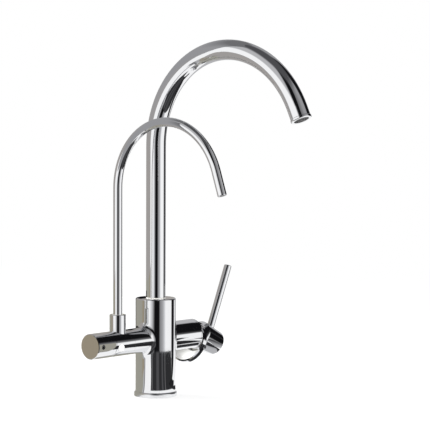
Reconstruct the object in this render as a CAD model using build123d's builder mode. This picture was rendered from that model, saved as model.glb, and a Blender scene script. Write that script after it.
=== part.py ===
"""Three-way kitchen mixer tap: body, two swivel spouts, filter valve and mixing cartridge.

Millimetres. The origin is the centre of the base on the deck, +Z is up, the mixer arm points
to +X, the filter arm to -X, and both spouts point forward to -Y.
"""

import os
from math import cos, radians, sin, sqrt

from build123d import *

# Clearances
run_gap = 0.05
slip_gap = 0.1
free_gap = 0.3

# Barrel and base
body_dia = 45.0
body_height = 110.0
body_edge = 1.5
base_dia = 48.0
base_height = 5.5
base_round = 2.2
base_seal_dia = 42.0
base_seal_thick = 2.0
body_foot_dia = 39.0

# Underside block with the stud hole and the three inlets
block_dia = 34.0
block_height = 20.0
stud_drill_dia = 6.8
stud_depth = 16.0
inlet_drill_dia = 9.0
inlet_circle_dia = 21.0
inlet_depth = 14.0
waterway_dia = 7.0

# Arms
arm_z = 64.5
mixer_arm_dia = 33.0
mixer_arm_length = 58.5
mixer_arm_fillet = 4.0
filter_arm_dia = 28.0
filter_boss_length = 47.0
filter_boss_fillet = 7.0
filter_thread_dia = 20.0
filter_thread_length = 6.0

# Main spout
main_tube_dia = 22.0
main_tube_wall = 1.2
main_spring_z = 280.0
main_arch_radius = 107.0
main_arch_sweep = 154.5
main_straight = 11.0
main_spigot_dia = 17.0
main_socket_dia = 21.0
main_socket_depth = 30.0
main_solder_length = 15.0
main_ring_section = 2.9
main_ring_heights = (8.5, 14.5)
lower_bush_length = 6.0
upper_bush_length = 7.0
upper_bush_flange_dia = 22.0
upper_bush_flange = 0.8
lock_groove_height = 20.0
lock_groove_width = 3.4
lock_groove_depth = 1.4
lock_screw_dia = 5.0
lock_tip_dia = 2.8
lock_screw_length = 9.0
main_water_dia = 12.0
core_dia = 10.0

# Aerator at the main outlet
aerator_dia = 23.0
aerator_lip = 3.0
aerator_thread_length = 8.0
aerator_wall = 1.5
aerator_plate = 2.5
aerator_recess = 0.8
aerator_hole_dia = 2.2
aerator_hole_pitch = 3.1
aerator_seal_thick = 1.5

# Filter spout
filter_spout_x = -61.0
filter_tube_dia = 10.0
filter_tube_wall = 1.0
filter_spring_z = 235.5
filter_arch_radius = 74.0
filter_arch_sweep = 161.0
filter_straight = 24.5
filter_nozzle_length = 3.0
filter_nozzle_bore = 5.0
filter_nozzle_plug = 6.0
filter_nozzle_round = 1.0
filter_collar_dia = 18.0
filter_collar_top = 96.5
filter_collar_round = 0.8
filter_collar_stub_dia = 15.0
filter_collar_stub_depth = 4.5
filter_socket_dia = 12.4
filter_socket_floor = 1.5
filter_ring_section = 1.6
filter_ring_heights = (3.0, 6.5)
filter_tube_seat = 9.0
filter_gland_length = 5.0
filter_water_dia = 6.0

# Filter valve and knob
filter_arm_end = 76.0
headpart_dia = 17.0
headpart_length = 20.0
headpart_neck_dia = 14.0
headpart_neck_length = 12.0
filter_stem_dia = 8.0
filter_stem_foot = 2.0
filter_disc_dia = 12.6
filter_disc_thick = 2.5
filter_chamber_dia = 13.2
knob_end = 104.0
knob_edge = 0.6
knob_hollow_dia = 19.0
knob_hollow_depth = 14.0
knob_wall = 2.0
knob_screw_dia = 5.0
knob_screw_length = 5.0
knob_screw_from_end = 7.0
index_plug_dia = 8.0
index_plug_depth = 2.5
index_plug_crown = 0.6
index_plug_x = -69.0
index_plug_drop = 3.0

# Mixing cartridge
pivot_proud = 0.5
cartridge_dia = 25.0
cartridge_wall = 1.3
cartridge_length = 31.0
cartridge_inset = 2.5
cartridge_seal_thick = 1.0
cartridge_base_thick = 4.0
cartridge_disc_thick = 3.0
cartridge_lip = 2.0
port_circle_dia = 13.0
port_dia = 5.0
port_seal_dia = 7.0
mixing_disc_dia = 14.0
carrier_collar = 3.0
carrier_neck_dia = 19.0
carrier_neck_proud = 0.8
lever_slot_width = 7.4
lever_slot_height = 13.0
pivot_pin_dia = 3.0
nut_dia = 29.0
nut_length = 5.0
nut_thread_length = 8.0
nut_dog_dia = 26.0
bezel_length = 3.7
bezel_edge = 0.8

# Handle, drawn on its own axis, which the open lever tilts
handle_tilt = 23.5
lever_bar = 6.0
lever_inner_arm = 8.5
lever_ball_dia = 4.4
lever_neck_dia = 3.6
lever_bar_back = 4.0
lever_socket_depth = 16.0
skirt_radius = 24.2
skirt_drop = 10.0
skirt_back = -3.0
skirt_rim_length = 5.0
skirt_wall = 2.0
skirt_floor_thick = 2.6
skirt_clearance = 0.8
cap_rise = 2.5
cap_back = 13.0
cap_dia = 33.0
cap_end_dia = 27.4
cap_length = 30.5
cap_round = 2.5
pin_dia = 8.75
pin_tip = 92.3
pin_seat = 5.0
pin_from_cap_back = 15.3
pin_round = 0.8
handle_screw_dia = 5.0
handle_screw_length = 6.0
handle_screw_from_cap_back = 8.0

# Frames that the pieces share
body_axis = Axis.Z
arm_axis = Axis((0, 0, arm_z), (1, 0, 0))
arm_section = Plane(origin=(0, 0, arm_z), x_dir=(1, 0, 0), z_dir=(0, -1, 0))
pivot_x = mixer_arm_length + pivot_proud
cartridge_end_x = mixer_arm_length - cartridge_inset
cartridge_seat_x = cartridge_end_x - cartridge_length
pivot = (pivot_x, 0, arm_z)
handle_out = (cos(radians(handle_tilt)), 0, -sin(radians(handle_tilt)))
handle_up = (sin(radians(handle_tilt)), 0, cos(radians(handle_tilt)))
handle_section = Plane(origin=pivot, x_dir=handle_out, z_dir=(0, -1, 0))
handle_face = Plane(origin=pivot, x_dir=(0, 1, 0), z_dir=handle_out)
cap_origin = (pivot_x + cap_rise * handle_up[0], 0, arm_z + cap_rise * handle_up[2])
cap_axis = Axis(cap_origin, handle_out)
cap_section = Plane(origin=cap_origin, x_dir=handle_out, z_dir=(0, -1, 0))


def half_section(plane, *points):
    """Closed half-section on a plane, from (along, radius) points."""
    with BuildSketch(plane) as section:
        with BuildLine():
            Polyline(*points, close=True)
        make_face()
    return section.sketch


def ring_section(plane, along, radius, section_dia):
    """Round section of an O-ring at a place along its axis."""
    with BuildSketch(plane) as section:
        with Locations((along, radius)):
            Circle(section_dia / 2)
    return section.sketch


def gooseneck_path(plane, foot_z, spring_z, arch_radius, sweep_angle, straight):
    """Riser, arch and straight outlet of a spout, drawn forward on an upright plane."""
    out = radians(180 - sweep_angle)
    arch_end = (arch_radius + arch_radius * cos(out), spring_z + arch_radius * sin(out))
    outlet = (arch_end[0] + straight * sin(out), arch_end[1] - straight * cos(out))
    with BuildLine(plane) as path:
        Line((0, foot_z), (0, spring_z))
        CenterArc((arch_radius, spring_z), arch_radius, 180, -sweep_angle)
        Line(arch_end, outlet)
    return path.wire()


def outlet_frame(plane, path):
    """Frame at the end of a spout's path, with Z along the water."""
    return Plane(origin=path @ 1, x_dir=plane.z_dir, z_dir=path % 1)


def forward_plane(x):
    """Upright plane through a spout's axis, with its X forward and its Y up."""
    return Plane(origin=(x, 0, 0), x_dir=(0, -1, 0), z_dir=(-1, 0, 0))


def curved_seams(part):
    """Edges that are neither straight nor round, from the -X side to the +X side."""
    seams = part.edges().filter_by(GeomType.LINE, reverse=True)
    return seams.filter_by(GeomType.CIRCLE, reverse=True).sort_by(Axis.X)


os.makedirs("parts", exist_ok=True)

# Barrel casting with its two arms
inlet_r = inlet_circle_dia / 2
socket_floor_z = body_height - main_socket_depth
inlet_places = [
    (-inlet_r, 0),
    (inlet_r / 2, inlet_r * sqrt(3) / 2),
    (inlet_r / 2, -inlet_r * sqrt(3) / 2),
]
filter_thread_end = -(filter_boss_length + filter_thread_length)
port_r = port_circle_dia / 2
port_places = [
    (-port_r * sqrt(3) / 2, -port_r / 2),
    (port_r * sqrt(3) / 2, -port_r / 2),
    (0, port_r),
]
cartridge_bore_dia = cartridge_dia + 2 * slip_gap
nut_start_x = mixer_arm_length - nut_thread_length
seat_plane = Plane(origin=(cartridge_seat_x, 0, arm_z), x_dir=(0, 1, 0), z_dir=(1, 0, 0))

with BuildPart() as main_body:
    with BuildSketch(Plane.XY.offset(base_height)):
        Circle(body_dia / 2)
    extrude(amount=body_height - base_height)
    with BuildSketch(Plane.YZ):
        with Locations((0, arm_z)):
            Circle(mixer_arm_dia / 2)
    extrude(amount=mixer_arm_length)
    with BuildSketch(Plane.YZ):
        with Locations((0, arm_z)):
            Circle(filter_arm_dia / 2)
    extrude(amount=-filter_boss_length)
    fillet(curved_seams(main_body)[-1:], mixer_arm_fillet)
    fillet(curved_seams(main_body)[:1], filter_boss_fillet)
    fillet(main_body.edges().filter_by(GeomType.CIRCLE).sort_by(Axis.Z)[-1], body_edge)
    with BuildSketch(Plane.YZ.offset(-filter_boss_length)):
        with Locations((0, arm_z)):
            Circle(filter_thread_dia / 2)
    extrude(amount=-filter_thread_length)
    with BuildSketch(Plane.XY.offset(base_seal_thick)):
        Circle(body_foot_dia / 2)
    extrude(amount=base_height - base_seal_thick)
    with BuildSketch(Plane.XY.offset(base_seal_thick)):
        Circle(block_dia / 2 + slip_gap)
    extrude(amount=block_height - base_seal_thick, mode=Mode.SUBTRACT)
    with BuildSketch(Plane.XY.offset(socket_floor_z)):
        Circle(main_socket_dia / 2)
    extrude(amount=main_socket_depth, mode=Mode.SUBTRACT)
    with BuildSketch(Plane.XY.offset(arm_z)):
        Circle(main_water_dia / 2)
    extrude(amount=socket_floor_z - arm_z, mode=Mode.SUBTRACT)
    with BuildSketch(Plane.XY.offset(block_height)):
        Circle(core_dia / 2)
    extrude(amount=arm_z - block_height, mode=Mode.SUBTRACT)
    with BuildSketch(seat_plane):
        Circle(cartridge_bore_dia / 2)
    extrude(amount=mixer_arm_length - cartridge_seat_x, mode=Mode.SUBTRACT)
    with BuildSketch(Plane.YZ.offset(nut_start_x)):
        with Locations((0, arm_z)):
            Circle(nut_dia / 2)
    extrude(amount=nut_thread_length, mode=Mode.SUBTRACT)
    with BuildSketch(seat_plane):
        with Locations(*port_places):
            Circle(port_dia / 2)
    extrude(amount=-(cartridge_seat_x - inlet_r / 2), mode=Mode.SUBTRACT)
    with BuildSketch(Plane.XY.offset(block_height)):
        with Locations(*inlet_places):
            Circle(waterway_dia / 2)
    extrude(amount=arm_z - block_height, mode=Mode.SUBTRACT)
    with BuildSketch(Plane.YZ.offset(filter_thread_end)):
        with Locations((0, arm_z)):
            Circle(waterway_dia / 2)
    extrude(amount=-filter_thread_end - inlet_r, mode=Mode.SUBTRACT)
    with BuildSketch(Plane.XZ.offset(-body_dia / 2)):
        with Locations((0, socket_floor_z + lock_groove_height)):
            Circle(lock_screw_dia / 2 + slip_gap)
    extrude(amount=body_dia / 2 - main_socket_dia / 4, mode=Mode.SUBTRACT)
main_body.part.label = "main_body"
export_step(main_body.part, "parts/main_body.step")

# Base ring, its seal and the underside block
with BuildPart() as base_ring:
    with BuildSketch():
        Circle(base_dia / 2)
    extrude(amount=base_height)
    fillet(base_ring.edges().sort_by(Axis.Z)[-1], base_round)
    with BuildSketch():
        Circle(body_foot_dia / 2 + slip_gap)
    extrude(amount=base_height, mode=Mode.SUBTRACT)
    with BuildSketch():
        Circle(base_seal_dia / 2 + slip_gap)
    extrude(amount=base_seal_thick, mode=Mode.SUBTRACT)
    fillet(base_ring.edges().group_by(Axis.Z)[0].sort_by(SortBy.LENGTH)[-1], base_round / 4)
base_ring.part.label = "base_ring"
export_step(base_ring.part, "parts/base_ring.step")

with BuildPart() as base_seal:
    with BuildSketch():
        Circle(base_seal_dia / 2)
        Circle(block_dia / 2 + slip_gap, mode=Mode.SUBTRACT)
    extrude(amount=base_seal_thick)
base_seal.part.label = "base_seal"
export_step(base_seal.part, "parts/base_seal.step")

with BuildPart() as inlet_block:
    with BuildSketch():
        Circle(block_dia / 2)
    extrude(amount=block_height)
    with BuildSketch():
        Circle(stud_drill_dia / 2)
    extrude(amount=stud_depth, mode=Mode.SUBTRACT)
    with BuildSketch():
        with Locations(*inlet_places):
            Circle(inlet_drill_dia / 2)
    extrude(amount=inlet_depth, mode=Mode.SUBTRACT)
    with BuildSketch(Plane.XY.offset(inlet_depth)):
        with Locations(*inlet_places):
            Circle(waterway_dia / 2)
    extrude(amount=block_height - inlet_depth, mode=Mode.SUBTRACT)
inlet_block.part.label = "inlet_block"
export_step(inlet_block.part, "parts/inlet_block.step")

# Swivel of the main spout
spout_foot_z = body_height + upper_bush_flange + run_gap
bush_r = main_socket_dia / 2 - slip_gap
bush_bore_r = main_spigot_dia / 2 + run_gap
spigot_foot_z = socket_floor_z + run_gap
upright = Plane.XZ
tube_bore_dia = main_tube_dia - 2 * main_tube_wall
groove_r = main_socket_dia / 2 - main_ring_section - 2 * run_gap
ring_r = (groove_r + main_socket_dia / 2) / 2

with BuildPart() as spout_lower_bush:
    with BuildSketch(Plane.XY.offset(socket_floor_z)):
        Circle(bush_r)
        Circle(bush_bore_r, mode=Mode.SUBTRACT)
    extrude(amount=lower_bush_length)
spout_lower_bush.part.label = "spout_lower_bush"
export_step(spout_lower_bush.part, "parts/spout_lower_bush.step")

with BuildPart() as spout_upper_bush:
    with BuildSketch(Plane.XY.offset(body_height - upper_bush_length)):
        Circle(bush_r)
    extrude(amount=upper_bush_length)
    with BuildSketch(Plane.XY.offset(body_height)):
        Circle(upper_bush_flange_dia / 2)
    extrude(amount=upper_bush_flange)
    with BuildSketch(Plane.XY.offset(body_height - upper_bush_length)):
        Circle(bush_bore_r)
    extrude(amount=upper_bush_length + upper_bush_flange, mode=Mode.SUBTRACT)
spout_upper_bush.part.label = "spout_upper_bush"
export_step(spout_upper_bush.part, "parts/spout_upper_bush.step")

with BuildPart() as main_spigot:
    with BuildSketch(Plane.XY.offset(spigot_foot_z)):
        Circle(main_spigot_dia / 2)
    extrude(amount=spout_foot_z - spigot_foot_z)
    with BuildSketch(Plane.XY.offset(spout_foot_z)):
        Circle(tube_bore_dia / 2)
    extrude(amount=main_solder_length)
    with BuildSketch(Plane.XY.offset(spigot_foot_z)):
        Circle(main_water_dia / 2)
    extrude(amount=spout_foot_z - spigot_foot_z + main_solder_length, mode=Mode.SUBTRACT)
    for height in main_ring_heights:
        with BuildSketch(Plane.XY.offset(socket_floor_z + height)):
            Circle(main_spigot_dia / 2)
            Circle(groove_r, mode=Mode.SUBTRACT)
        extrude(amount=(main_ring_section + 2 * run_gap) / 2, both=True, mode=Mode.SUBTRACT)
    with BuildSketch(Plane.XY.offset(socket_floor_z + lock_groove_height)):
        Circle(main_spigot_dia / 2)
        Circle(main_spigot_dia / 2 - lock_groove_depth, mode=Mode.SUBTRACT)
    extrude(amount=lock_groove_width / 2, both=True, mode=Mode.SUBTRACT)
main_spigot.part.label = "main_spigot"
export_step(main_spigot.part, "parts/main_spigot.step")

with BuildPart() as main_spigot_rings:
    for height in main_ring_heights:
        revolve(
            ring_section(upright, ring_r, socket_floor_z + height, main_ring_section),
            axis=body_axis,
        )
main_spigot_rings.part.label = "main_spigot_rings"
export_step(main_spigot_rings.part, "parts/main_spigot_rings.step")

lock_tip_y = main_spigot_dia / 2 - lock_groove_depth + free_gap
lock_body_y = main_socket_dia / 2 + slip_gap
with BuildPart() as spout_lock_screw:
    with BuildSketch(Plane.XZ.offset(-lock_body_y)):
        with Locations((0, socket_floor_z + lock_groove_height)):
            Circle(lock_screw_dia / 2)
    extrude(amount=-lock_screw_length)
    with BuildSketch(Plane.XZ.offset(-lock_tip_y)):
        with Locations((0, socket_floor_z + lock_groove_height)):
            Circle(lock_tip_dia / 2)
    extrude(amount=-(lock_body_y - lock_tip_y))
    with BuildSketch(Plane.XZ.offset(-(lock_body_y + lock_screw_length))):
        with Locations((0, socket_floor_z + lock_groove_height)):
            RegularPolygon(lock_screw_dia / 4, 6)
    extrude(amount=lock_screw_dia / 2, mode=Mode.SUBTRACT)
spout_lock_screw.part.label = "spout_lock_screw"
export_step(spout_lock_screw.part, "parts/spout_lock_screw.step")

# Main gooseneck and its aerator
main_plane = forward_plane(0)
main_path = gooseneck_path(
    main_plane, spout_foot_z, main_spring_z, main_arch_radius, main_arch_sweep, main_straight
)
main_outlet = outlet_frame(main_plane, main_path)
aerator_bore_dia = tube_bore_dia - 2 * aerator_wall

with BuildPart() as main_spout_tube:
    with BuildSketch(Plane.XY.offset(spout_foot_z)):
        Circle(main_tube_dia / 2)
        Circle(tube_bore_dia / 2, mode=Mode.SUBTRACT)
    sweep(path=main_path)
main_spout_tube.part.label = "main_spout_tube"
export_step(main_spout_tube.part, "parts/main_spout_tube.step")

with BuildPart() as aerator_housing:
    with BuildSketch(main_outlet):
        Circle(aerator_dia / 2)
    extrude(amount=aerator_lip)
    chamfer(aerator_housing.edges(), aerator_lip / 6)
    with BuildSketch(main_outlet):
        Circle(tube_bore_dia / 2 - slip_gap)
    extrude(amount=-aerator_thread_length)
    with BuildSketch(main_outlet.offset(aerator_lip)):
        Circle(aerator_bore_dia / 2)
    extrude(amount=-(aerator_lip + aerator_thread_length), mode=Mode.SUBTRACT)
aerator_housing.part.label = "aerator_housing"
export_step(aerator_housing.part, "parts/aerator_housing.step")

insert_top = aerator_thread_length - aerator_seal_thick
with BuildPart() as aerator_insert:
    with BuildSketch(main_outlet.offset(aerator_lip - aerator_recess)):
        Circle(aerator_bore_dia / 2 - slip_gap)
    extrude(amount=-(aerator_lip - aerator_recess + insert_top))
    with BuildSketch(main_outlet.offset(-insert_top)):
        Circle(aerator_bore_dia / 2 - slip_gap - aerator_wall)
    extrude(amount=insert_top + aerator_lip - aerator_recess - aerator_plate, mode=Mode.SUBTRACT)
    with BuildSketch(main_outlet.offset(aerator_lip - aerator_recess)):
        with HexLocations(aerator_hole_pitch / 2, 3, 3, major_radius=False):
            Circle(aerator_hole_dia / 2)
    extrude(amount=-aerator_plate, mode=Mode.SUBTRACT)
aerator_insert.part.label = "aerator_insert"
export_step(aerator_insert.part, "parts/aerator_insert.step")

with BuildPart() as aerator_seal:
    with BuildSketch(main_outlet.offset(-insert_top)):
        Circle(aerator_bore_dia / 2 - slip_gap)
        Circle(aerator_bore_dia / 2 - slip_gap - aerator_wall, mode=Mode.SUBTRACT)
    extrude(amount=-aerator_seal_thick)
aerator_seal.part.label = "aerator_seal"
export_step(aerator_seal.part, "parts/aerator_seal.step")

# Left arm: sleeve, quarter-turn valve and index plug
bore_dia = headpart_dia + 2 * slip_gap
plug_front = Plane.XZ.offset(filter_arm_dia / 2)
collar_stub_floor = arm_z + filter_arm_dia / 2 - filter_collar_stub_depth
headpart_inner = -(filter_arm_end - headpart_length)
headpart_outer = -(filter_arm_end + headpart_neck_length)
stem_foot_x = headpart_inner - 2 * filter_disc_thick - filter_stem_foot

with BuildPart() as valve_housing:
    with BuildSketch(Plane.YZ.offset(-filter_boss_length)):
        with Locations((0, arm_z)):
            Circle(filter_arm_dia / 2)
    extrude(amount=-(filter_arm_end - filter_boss_length))
    chamfer(valve_housing.edges().filter_by(GeomType.CIRCLE), slip_gap)
    with BuildSketch(Plane.YZ.offset(-filter_boss_length)):
        with Locations((0, arm_z)):
            Circle(filter_thread_dia / 2 + slip_gap)
    extrude(amount=-filter_thread_length, mode=Mode.SUBTRACT)
    with BuildSketch(Plane.YZ.offset(-filter_boss_length)):
        with Locations((0, arm_z)):
            Circle(bore_dia / 2)
    extrude(amount=-(filter_arm_end - filter_boss_length), mode=Mode.SUBTRACT)
    with BuildSketch(Plane.XY.offset(collar_stub_floor)):
        with Locations((filter_spout_x, 0)):
            Circle(filter_collar_stub_dia / 2 + slip_gap)
    extrude(amount=filter_arm_dia, mode=Mode.SUBTRACT)
    with BuildSketch(Plane.XY.offset(arm_z)):
        with Locations((filter_spout_x, 0)):
            Circle(filter_water_dia / 2)
    extrude(amount=filter_arm_dia, mode=Mode.SUBTRACT)
    with BuildSketch(plug_front):
        with Locations((index_plug_x, arm_z - index_plug_drop)):
            Circle(index_plug_dia / 2 + slip_gap)
    extrude(amount=-index_plug_depth, mode=Mode.SUBTRACT)
valve_housing.part.label = "valve_housing"
export_step(valve_housing.part, "parts/valve_housing.step")

with BuildPart() as index_plug:
    with BuildSketch(plug_front.offset(-index_plug_depth)):
        with Locations((index_plug_x, arm_z - index_plug_drop)):
            Circle(index_plug_dia / 2)
    extrude(amount=index_plug_depth + index_plug_crown)
    fillet(index_plug.edges().sort_by(Axis.Y)[0], index_plug_crown * 0.9)
index_plug.part.label = "index_plug"
export_step(index_plug.part, "parts/index_plug.step")

with BuildPart() as filter_headpart:
    revolve(
        half_section(
            arm_section,
            (headpart_outer, filter_stem_dia / 2 + run_gap),
            (headpart_outer, headpart_neck_dia / 2),
            (-filter_arm_end, headpart_neck_dia / 2),
            (-filter_arm_end, headpart_dia / 2),
            (headpart_inner, headpart_dia / 2),
            (headpart_inner, filter_chamber_dia / 2),
            (stem_foot_x - run_gap, filter_chamber_dia / 2),
            (stem_foot_x - run_gap, filter_stem_dia / 2 + run_gap),
        ),
        axis=arm_axis,
    )
    with BuildSketch(Plane.XY.offset(arm_z)):
        with Locations((filter_spout_x, 0)):
            Circle(filter_water_dia / 2)
    extrude(amount=headpart_dia, mode=Mode.SUBTRACT)
filter_headpart.part.label = "filter_headpart"
export_step(filter_headpart.part, "parts/filter_headpart.step")

fixed_disc_x = headpart_inner - filter_disc_thick
with BuildPart() as filter_fixed_disc:
    with BuildSketch(Plane.YZ.offset(fixed_disc_x)):
        with Locations((0, arm_z)):
            Circle(filter_chamber_dia / 2 - slip_gap)
        with Locations((0, arm_z - filter_disc_dia / 4)):
            Circle(filter_disc_dia / 8, mode=Mode.SUBTRACT)
    extrude(amount=filter_disc_thick)
filter_fixed_disc.part.label = "filter_fixed_disc"
export_step(filter_fixed_disc.part, "parts/filter_fixed_disc.step")

with BuildPart() as filter_seat_seal:
    with BuildSketch(Plane.YZ.offset(headpart_inner)):
        with Locations((0, arm_z)):
            Circle(filter_chamber_dia / 2)
            Circle(filter_chamber_dia / 3, mode=Mode.SUBTRACT)
    extrude(amount=filter_thread_end - headpart_inner)
filter_seat_seal.part.label = "filter_seat_seal"
export_step(filter_seat_seal.part, "parts/filter_seat_seal.step")

# Knob, stem and moving disc of the quarter-turn valve
knob_start = -(filter_arm_end + free_gap)
stem_end_x = -(knob_end - knob_wall - slip_gap)
screw_x = -(knob_end - knob_screw_from_end)

with BuildPart() as filter_knob:
    with BuildSketch(Plane.YZ.offset(knob_start)):
        with Locations((0, arm_z)):
            Circle(filter_arm_dia / 2)
    extrude(amount=-(knob_end + knob_start))
    chamfer(filter_knob.edges().filter_by(GeomType.CIRCLE).sort_by(Axis.X)[0], knob_edge)
    chamfer(filter_knob.edges().filter_by(GeomType.CIRCLE).sort_by(Axis.X)[-1], slip_gap)
    with BuildSketch(Plane.YZ.offset(knob_start)):
        with Locations((0, arm_z)):
            Circle(knob_hollow_dia / 2)
    extrude(amount=-knob_hollow_depth, mode=Mode.SUBTRACT)
    with BuildSketch(Plane.YZ.offset(knob_start)):
        with Locations((0, arm_z)):
            Circle(filter_stem_dia / 2 + slip_gap)
    extrude(amount=-(knob_end + knob_start - knob_wall), mode=Mode.SUBTRACT)
    with BuildSketch(Plane.XZ):
        with Locations((screw_x, arm_z)):
            Circle(knob_screw_dia / 2 + slip_gap)
    extrude(amount=filter_arm_dia, mode=Mode.SUBTRACT)
filter_knob.part.label = "filter_knob"
export_step(filter_knob.part, "parts/filter_knob.step")

with BuildPart() as knob_grub_screw:
    with BuildSketch(Plane.XZ.offset(filter_stem_dia / 2)):
        with Locations((screw_x, arm_z)):
            Circle(knob_screw_dia / 2)
    extrude(amount=knob_screw_length)
    with BuildSketch(Plane.XZ.offset(filter_stem_dia / 2 + knob_screw_length)):
        with Locations((screw_x, arm_z)):
            RegularPolygon(knob_screw_dia / 4, 6)
    extrude(amount=-knob_screw_dia / 2, mode=Mode.SUBTRACT)
knob_grub_screw.part.label = "knob_grub_screw"
export_step(knob_grub_screw.part, "parts/knob_grub_screw.step")

with BuildPart() as filter_stem:
    revolve(
        half_section(
            arm_section,
            (stem_end_x, 0),
            (stem_end_x, filter_stem_dia / 2),
            (stem_foot_x, filter_stem_dia / 2),
            (stem_foot_x, filter_disc_dia / 2),
            (stem_foot_x + filter_stem_foot, filter_disc_dia / 2),
            (stem_foot_x + filter_stem_foot, 0),
        ),
        axis=arm_axis,
    )
    with BuildSketch(Plane.XZ.offset(filter_stem_dia / 2)):
        with Locations((screw_x, arm_z)):
            Rectangle(knob_screw_from_end, filter_stem_dia)
    extrude(amount=-slip_gap, mode=Mode.SUBTRACT)
filter_stem.part.label = "filter_stem"
export_step(filter_stem.part, "parts/filter_stem.step")

with BuildPart() as filter_moving_disc:
    with BuildSketch(Plane.YZ.offset(stem_foot_x + filter_stem_foot)):
        with Locations((0, arm_z)):
            Circle(filter_disc_dia / 2)
        with Locations((0, arm_z + filter_disc_dia / 4)):
            Circle(filter_disc_dia / 8, mode=Mode.SUBTRACT)
    extrude(amount=filter_disc_thick - run_gap)
filter_moving_disc.part.label = "filter_moving_disc"
export_step(filter_moving_disc.part, "parts/filter_moving_disc.step")

# Collar, gland and slim gooseneck of the filter spout
filter_socket_z = collar_stub_floor + filter_socket_floor
filter_spigot_z = filter_socket_z + run_gap
gland_z = filter_collar_top - filter_gland_length
filter_plane = forward_plane(filter_spout_x)
filter_path = gooseneck_path(
    filter_plane,
    filter_spigot_z + filter_tube_seat,
    filter_spring_z,
    filter_arch_radius,
    filter_arch_sweep,
    filter_straight,
)
filter_outlet = outlet_frame(filter_plane, filter_path)
filter_bore_dia = filter_tube_dia - 2 * filter_tube_wall
filter_groove_r = filter_socket_dia / 2 - filter_ring_section - 2 * run_gap
filter_ring_r = (filter_groove_r + filter_socket_dia / 2) / 2
filter_section = Plane(origin=(filter_spout_x, 0, 0), x_dir=(1, 0, 0), z_dir=(0, -1, 0))
filter_axis = Axis((filter_spout_x, 0, 0), (0, 0, 1))

with BuildPart() as filter_collar:
    with BuildSketch(Plane.XY.offset(arm_z)):
        with Locations((filter_spout_x, 0)):
            Circle(filter_collar_dia / 2)
    extrude(amount=filter_collar_top - arm_z)
    fillet(filter_collar.edges().sort_by(Axis.Z)[-1], filter_collar_round)
    with BuildSketch(Plane.YZ.offset(filter_spout_x)):
        with Locations((0, arm_z)):
            Circle(filter_arm_dia / 2 + run_gap)
    extrude(amount=filter_collar_dia, both=True, mode=Mode.SUBTRACT)
    with BuildSketch(Plane.XY.offset(collar_stub_floor)):
        with Locations((filter_spout_x, 0)):
            Circle(filter_collar_stub_dia / 2)
    extrude(amount=filter_arm_dia / 2)
    with BuildSketch(Plane.XY.offset(filter_socket_z)):
        with Locations((filter_spout_x, 0)):
            Circle(filter_socket_dia / 2)
    extrude(amount=filter_collar_top - filter_socket_z, mode=Mode.SUBTRACT)
    with BuildSketch(Plane.XY.offset(collar_stub_floor)):
        with Locations((filter_spout_x, 0)):
            Circle(filter_water_dia / 2)
    extrude(amount=filter_socket_floor, mode=Mode.SUBTRACT)
filter_collar.part.label = "filter_collar"
export_step(filter_collar.part, "parts/filter_collar.step")

with BuildPart() as filter_gland:
    with BuildSketch(Plane.XY.offset(gland_z)):
        with Locations((filter_spout_x, 0)):
            Circle(filter_socket_dia / 2 - run_gap)
            Circle(filter_tube_dia / 2 + run_gap, mode=Mode.SUBTRACT)
    extrude(amount=filter_gland_length)
filter_gland.part.label = "filter_gland"
export_step(filter_gland.part, "parts/filter_gland.step")

with BuildPart() as filter_spigot:
    with BuildSketch(Plane.XY.offset(filter_spigot_z)):
        with Locations((filter_spout_x, 0)):
            Circle(filter_socket_dia / 2 - run_gap)
            Circle(filter_water_dia / 2, mode=Mode.SUBTRACT)
    extrude(amount=gland_z - run_gap - filter_spigot_z)
    with BuildSketch(Plane.XY.offset(filter_spigot_z + filter_tube_seat)):
        with Locations((filter_spout_x, 0)):
            Circle(filter_tube_dia / 2)
    extrude(amount=filter_collar_top, mode=Mode.SUBTRACT)
    for height in filter_ring_heights:
        with BuildSketch(Plane.XY.offset(filter_spigot_z + height)):
            with Locations((filter_spout_x, 0)):
                Circle(filter_socket_dia / 2)
                Circle(filter_groove_r, mode=Mode.SUBTRACT)
        extrude(amount=filter_ring_section / 2 + run_gap, both=True, mode=Mode.SUBTRACT)
filter_spigot.part.label = "filter_spigot"
export_step(filter_spigot.part, "parts/filter_spigot.step")

with BuildPart() as filter_spigot_rings:
    for height in filter_ring_heights:
        revolve(
            ring_section(filter_section, filter_ring_r, filter_spigot_z + height, filter_ring_section),
            axis=filter_axis,
        )
filter_spigot_rings.part.label = "filter_spigot_rings"
export_step(filter_spigot_rings.part, "parts/filter_spigot_rings.step")

with BuildPart() as filter_spout_tube:
    with BuildSketch(Plane.XY.offset(filter_spigot_z + filter_tube_seat)):
        with Locations((filter_spout_x, 0)):
            Circle(filter_tube_dia / 2)
            Circle(filter_bore_dia / 2, mode=Mode.SUBTRACT)
    sweep(path=filter_path)
filter_spout_tube.part.label = "filter_spout_tube"
export_step(filter_spout_tube.part, "parts/filter_spout_tube.step")

with BuildPart() as filter_nozzle:
    with BuildSketch(filter_outlet):
        Circle(filter_tube_dia / 2)
    extrude(amount=filter_nozzle_length)
    fillet(filter_nozzle.edges().filter_by(GeomType.CIRCLE).sort_by(Axis.Z)[0], filter_nozzle_round)
    with BuildSketch(filter_outlet):
        Circle(filter_bore_dia / 2 - slip_gap)
    extrude(amount=-filter_nozzle_plug)
    with BuildSketch(filter_outlet.offset(filter_nozzle_length)):
        Circle(filter_nozzle_bore / 2)
    extrude(amount=-(filter_nozzle_length + filter_nozzle_plug), mode=Mode.SUBTRACT)
filter_nozzle.part.label = "filter_nozzle"
export_step(filter_nozzle.part, "parts/filter_nozzle.step")

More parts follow.
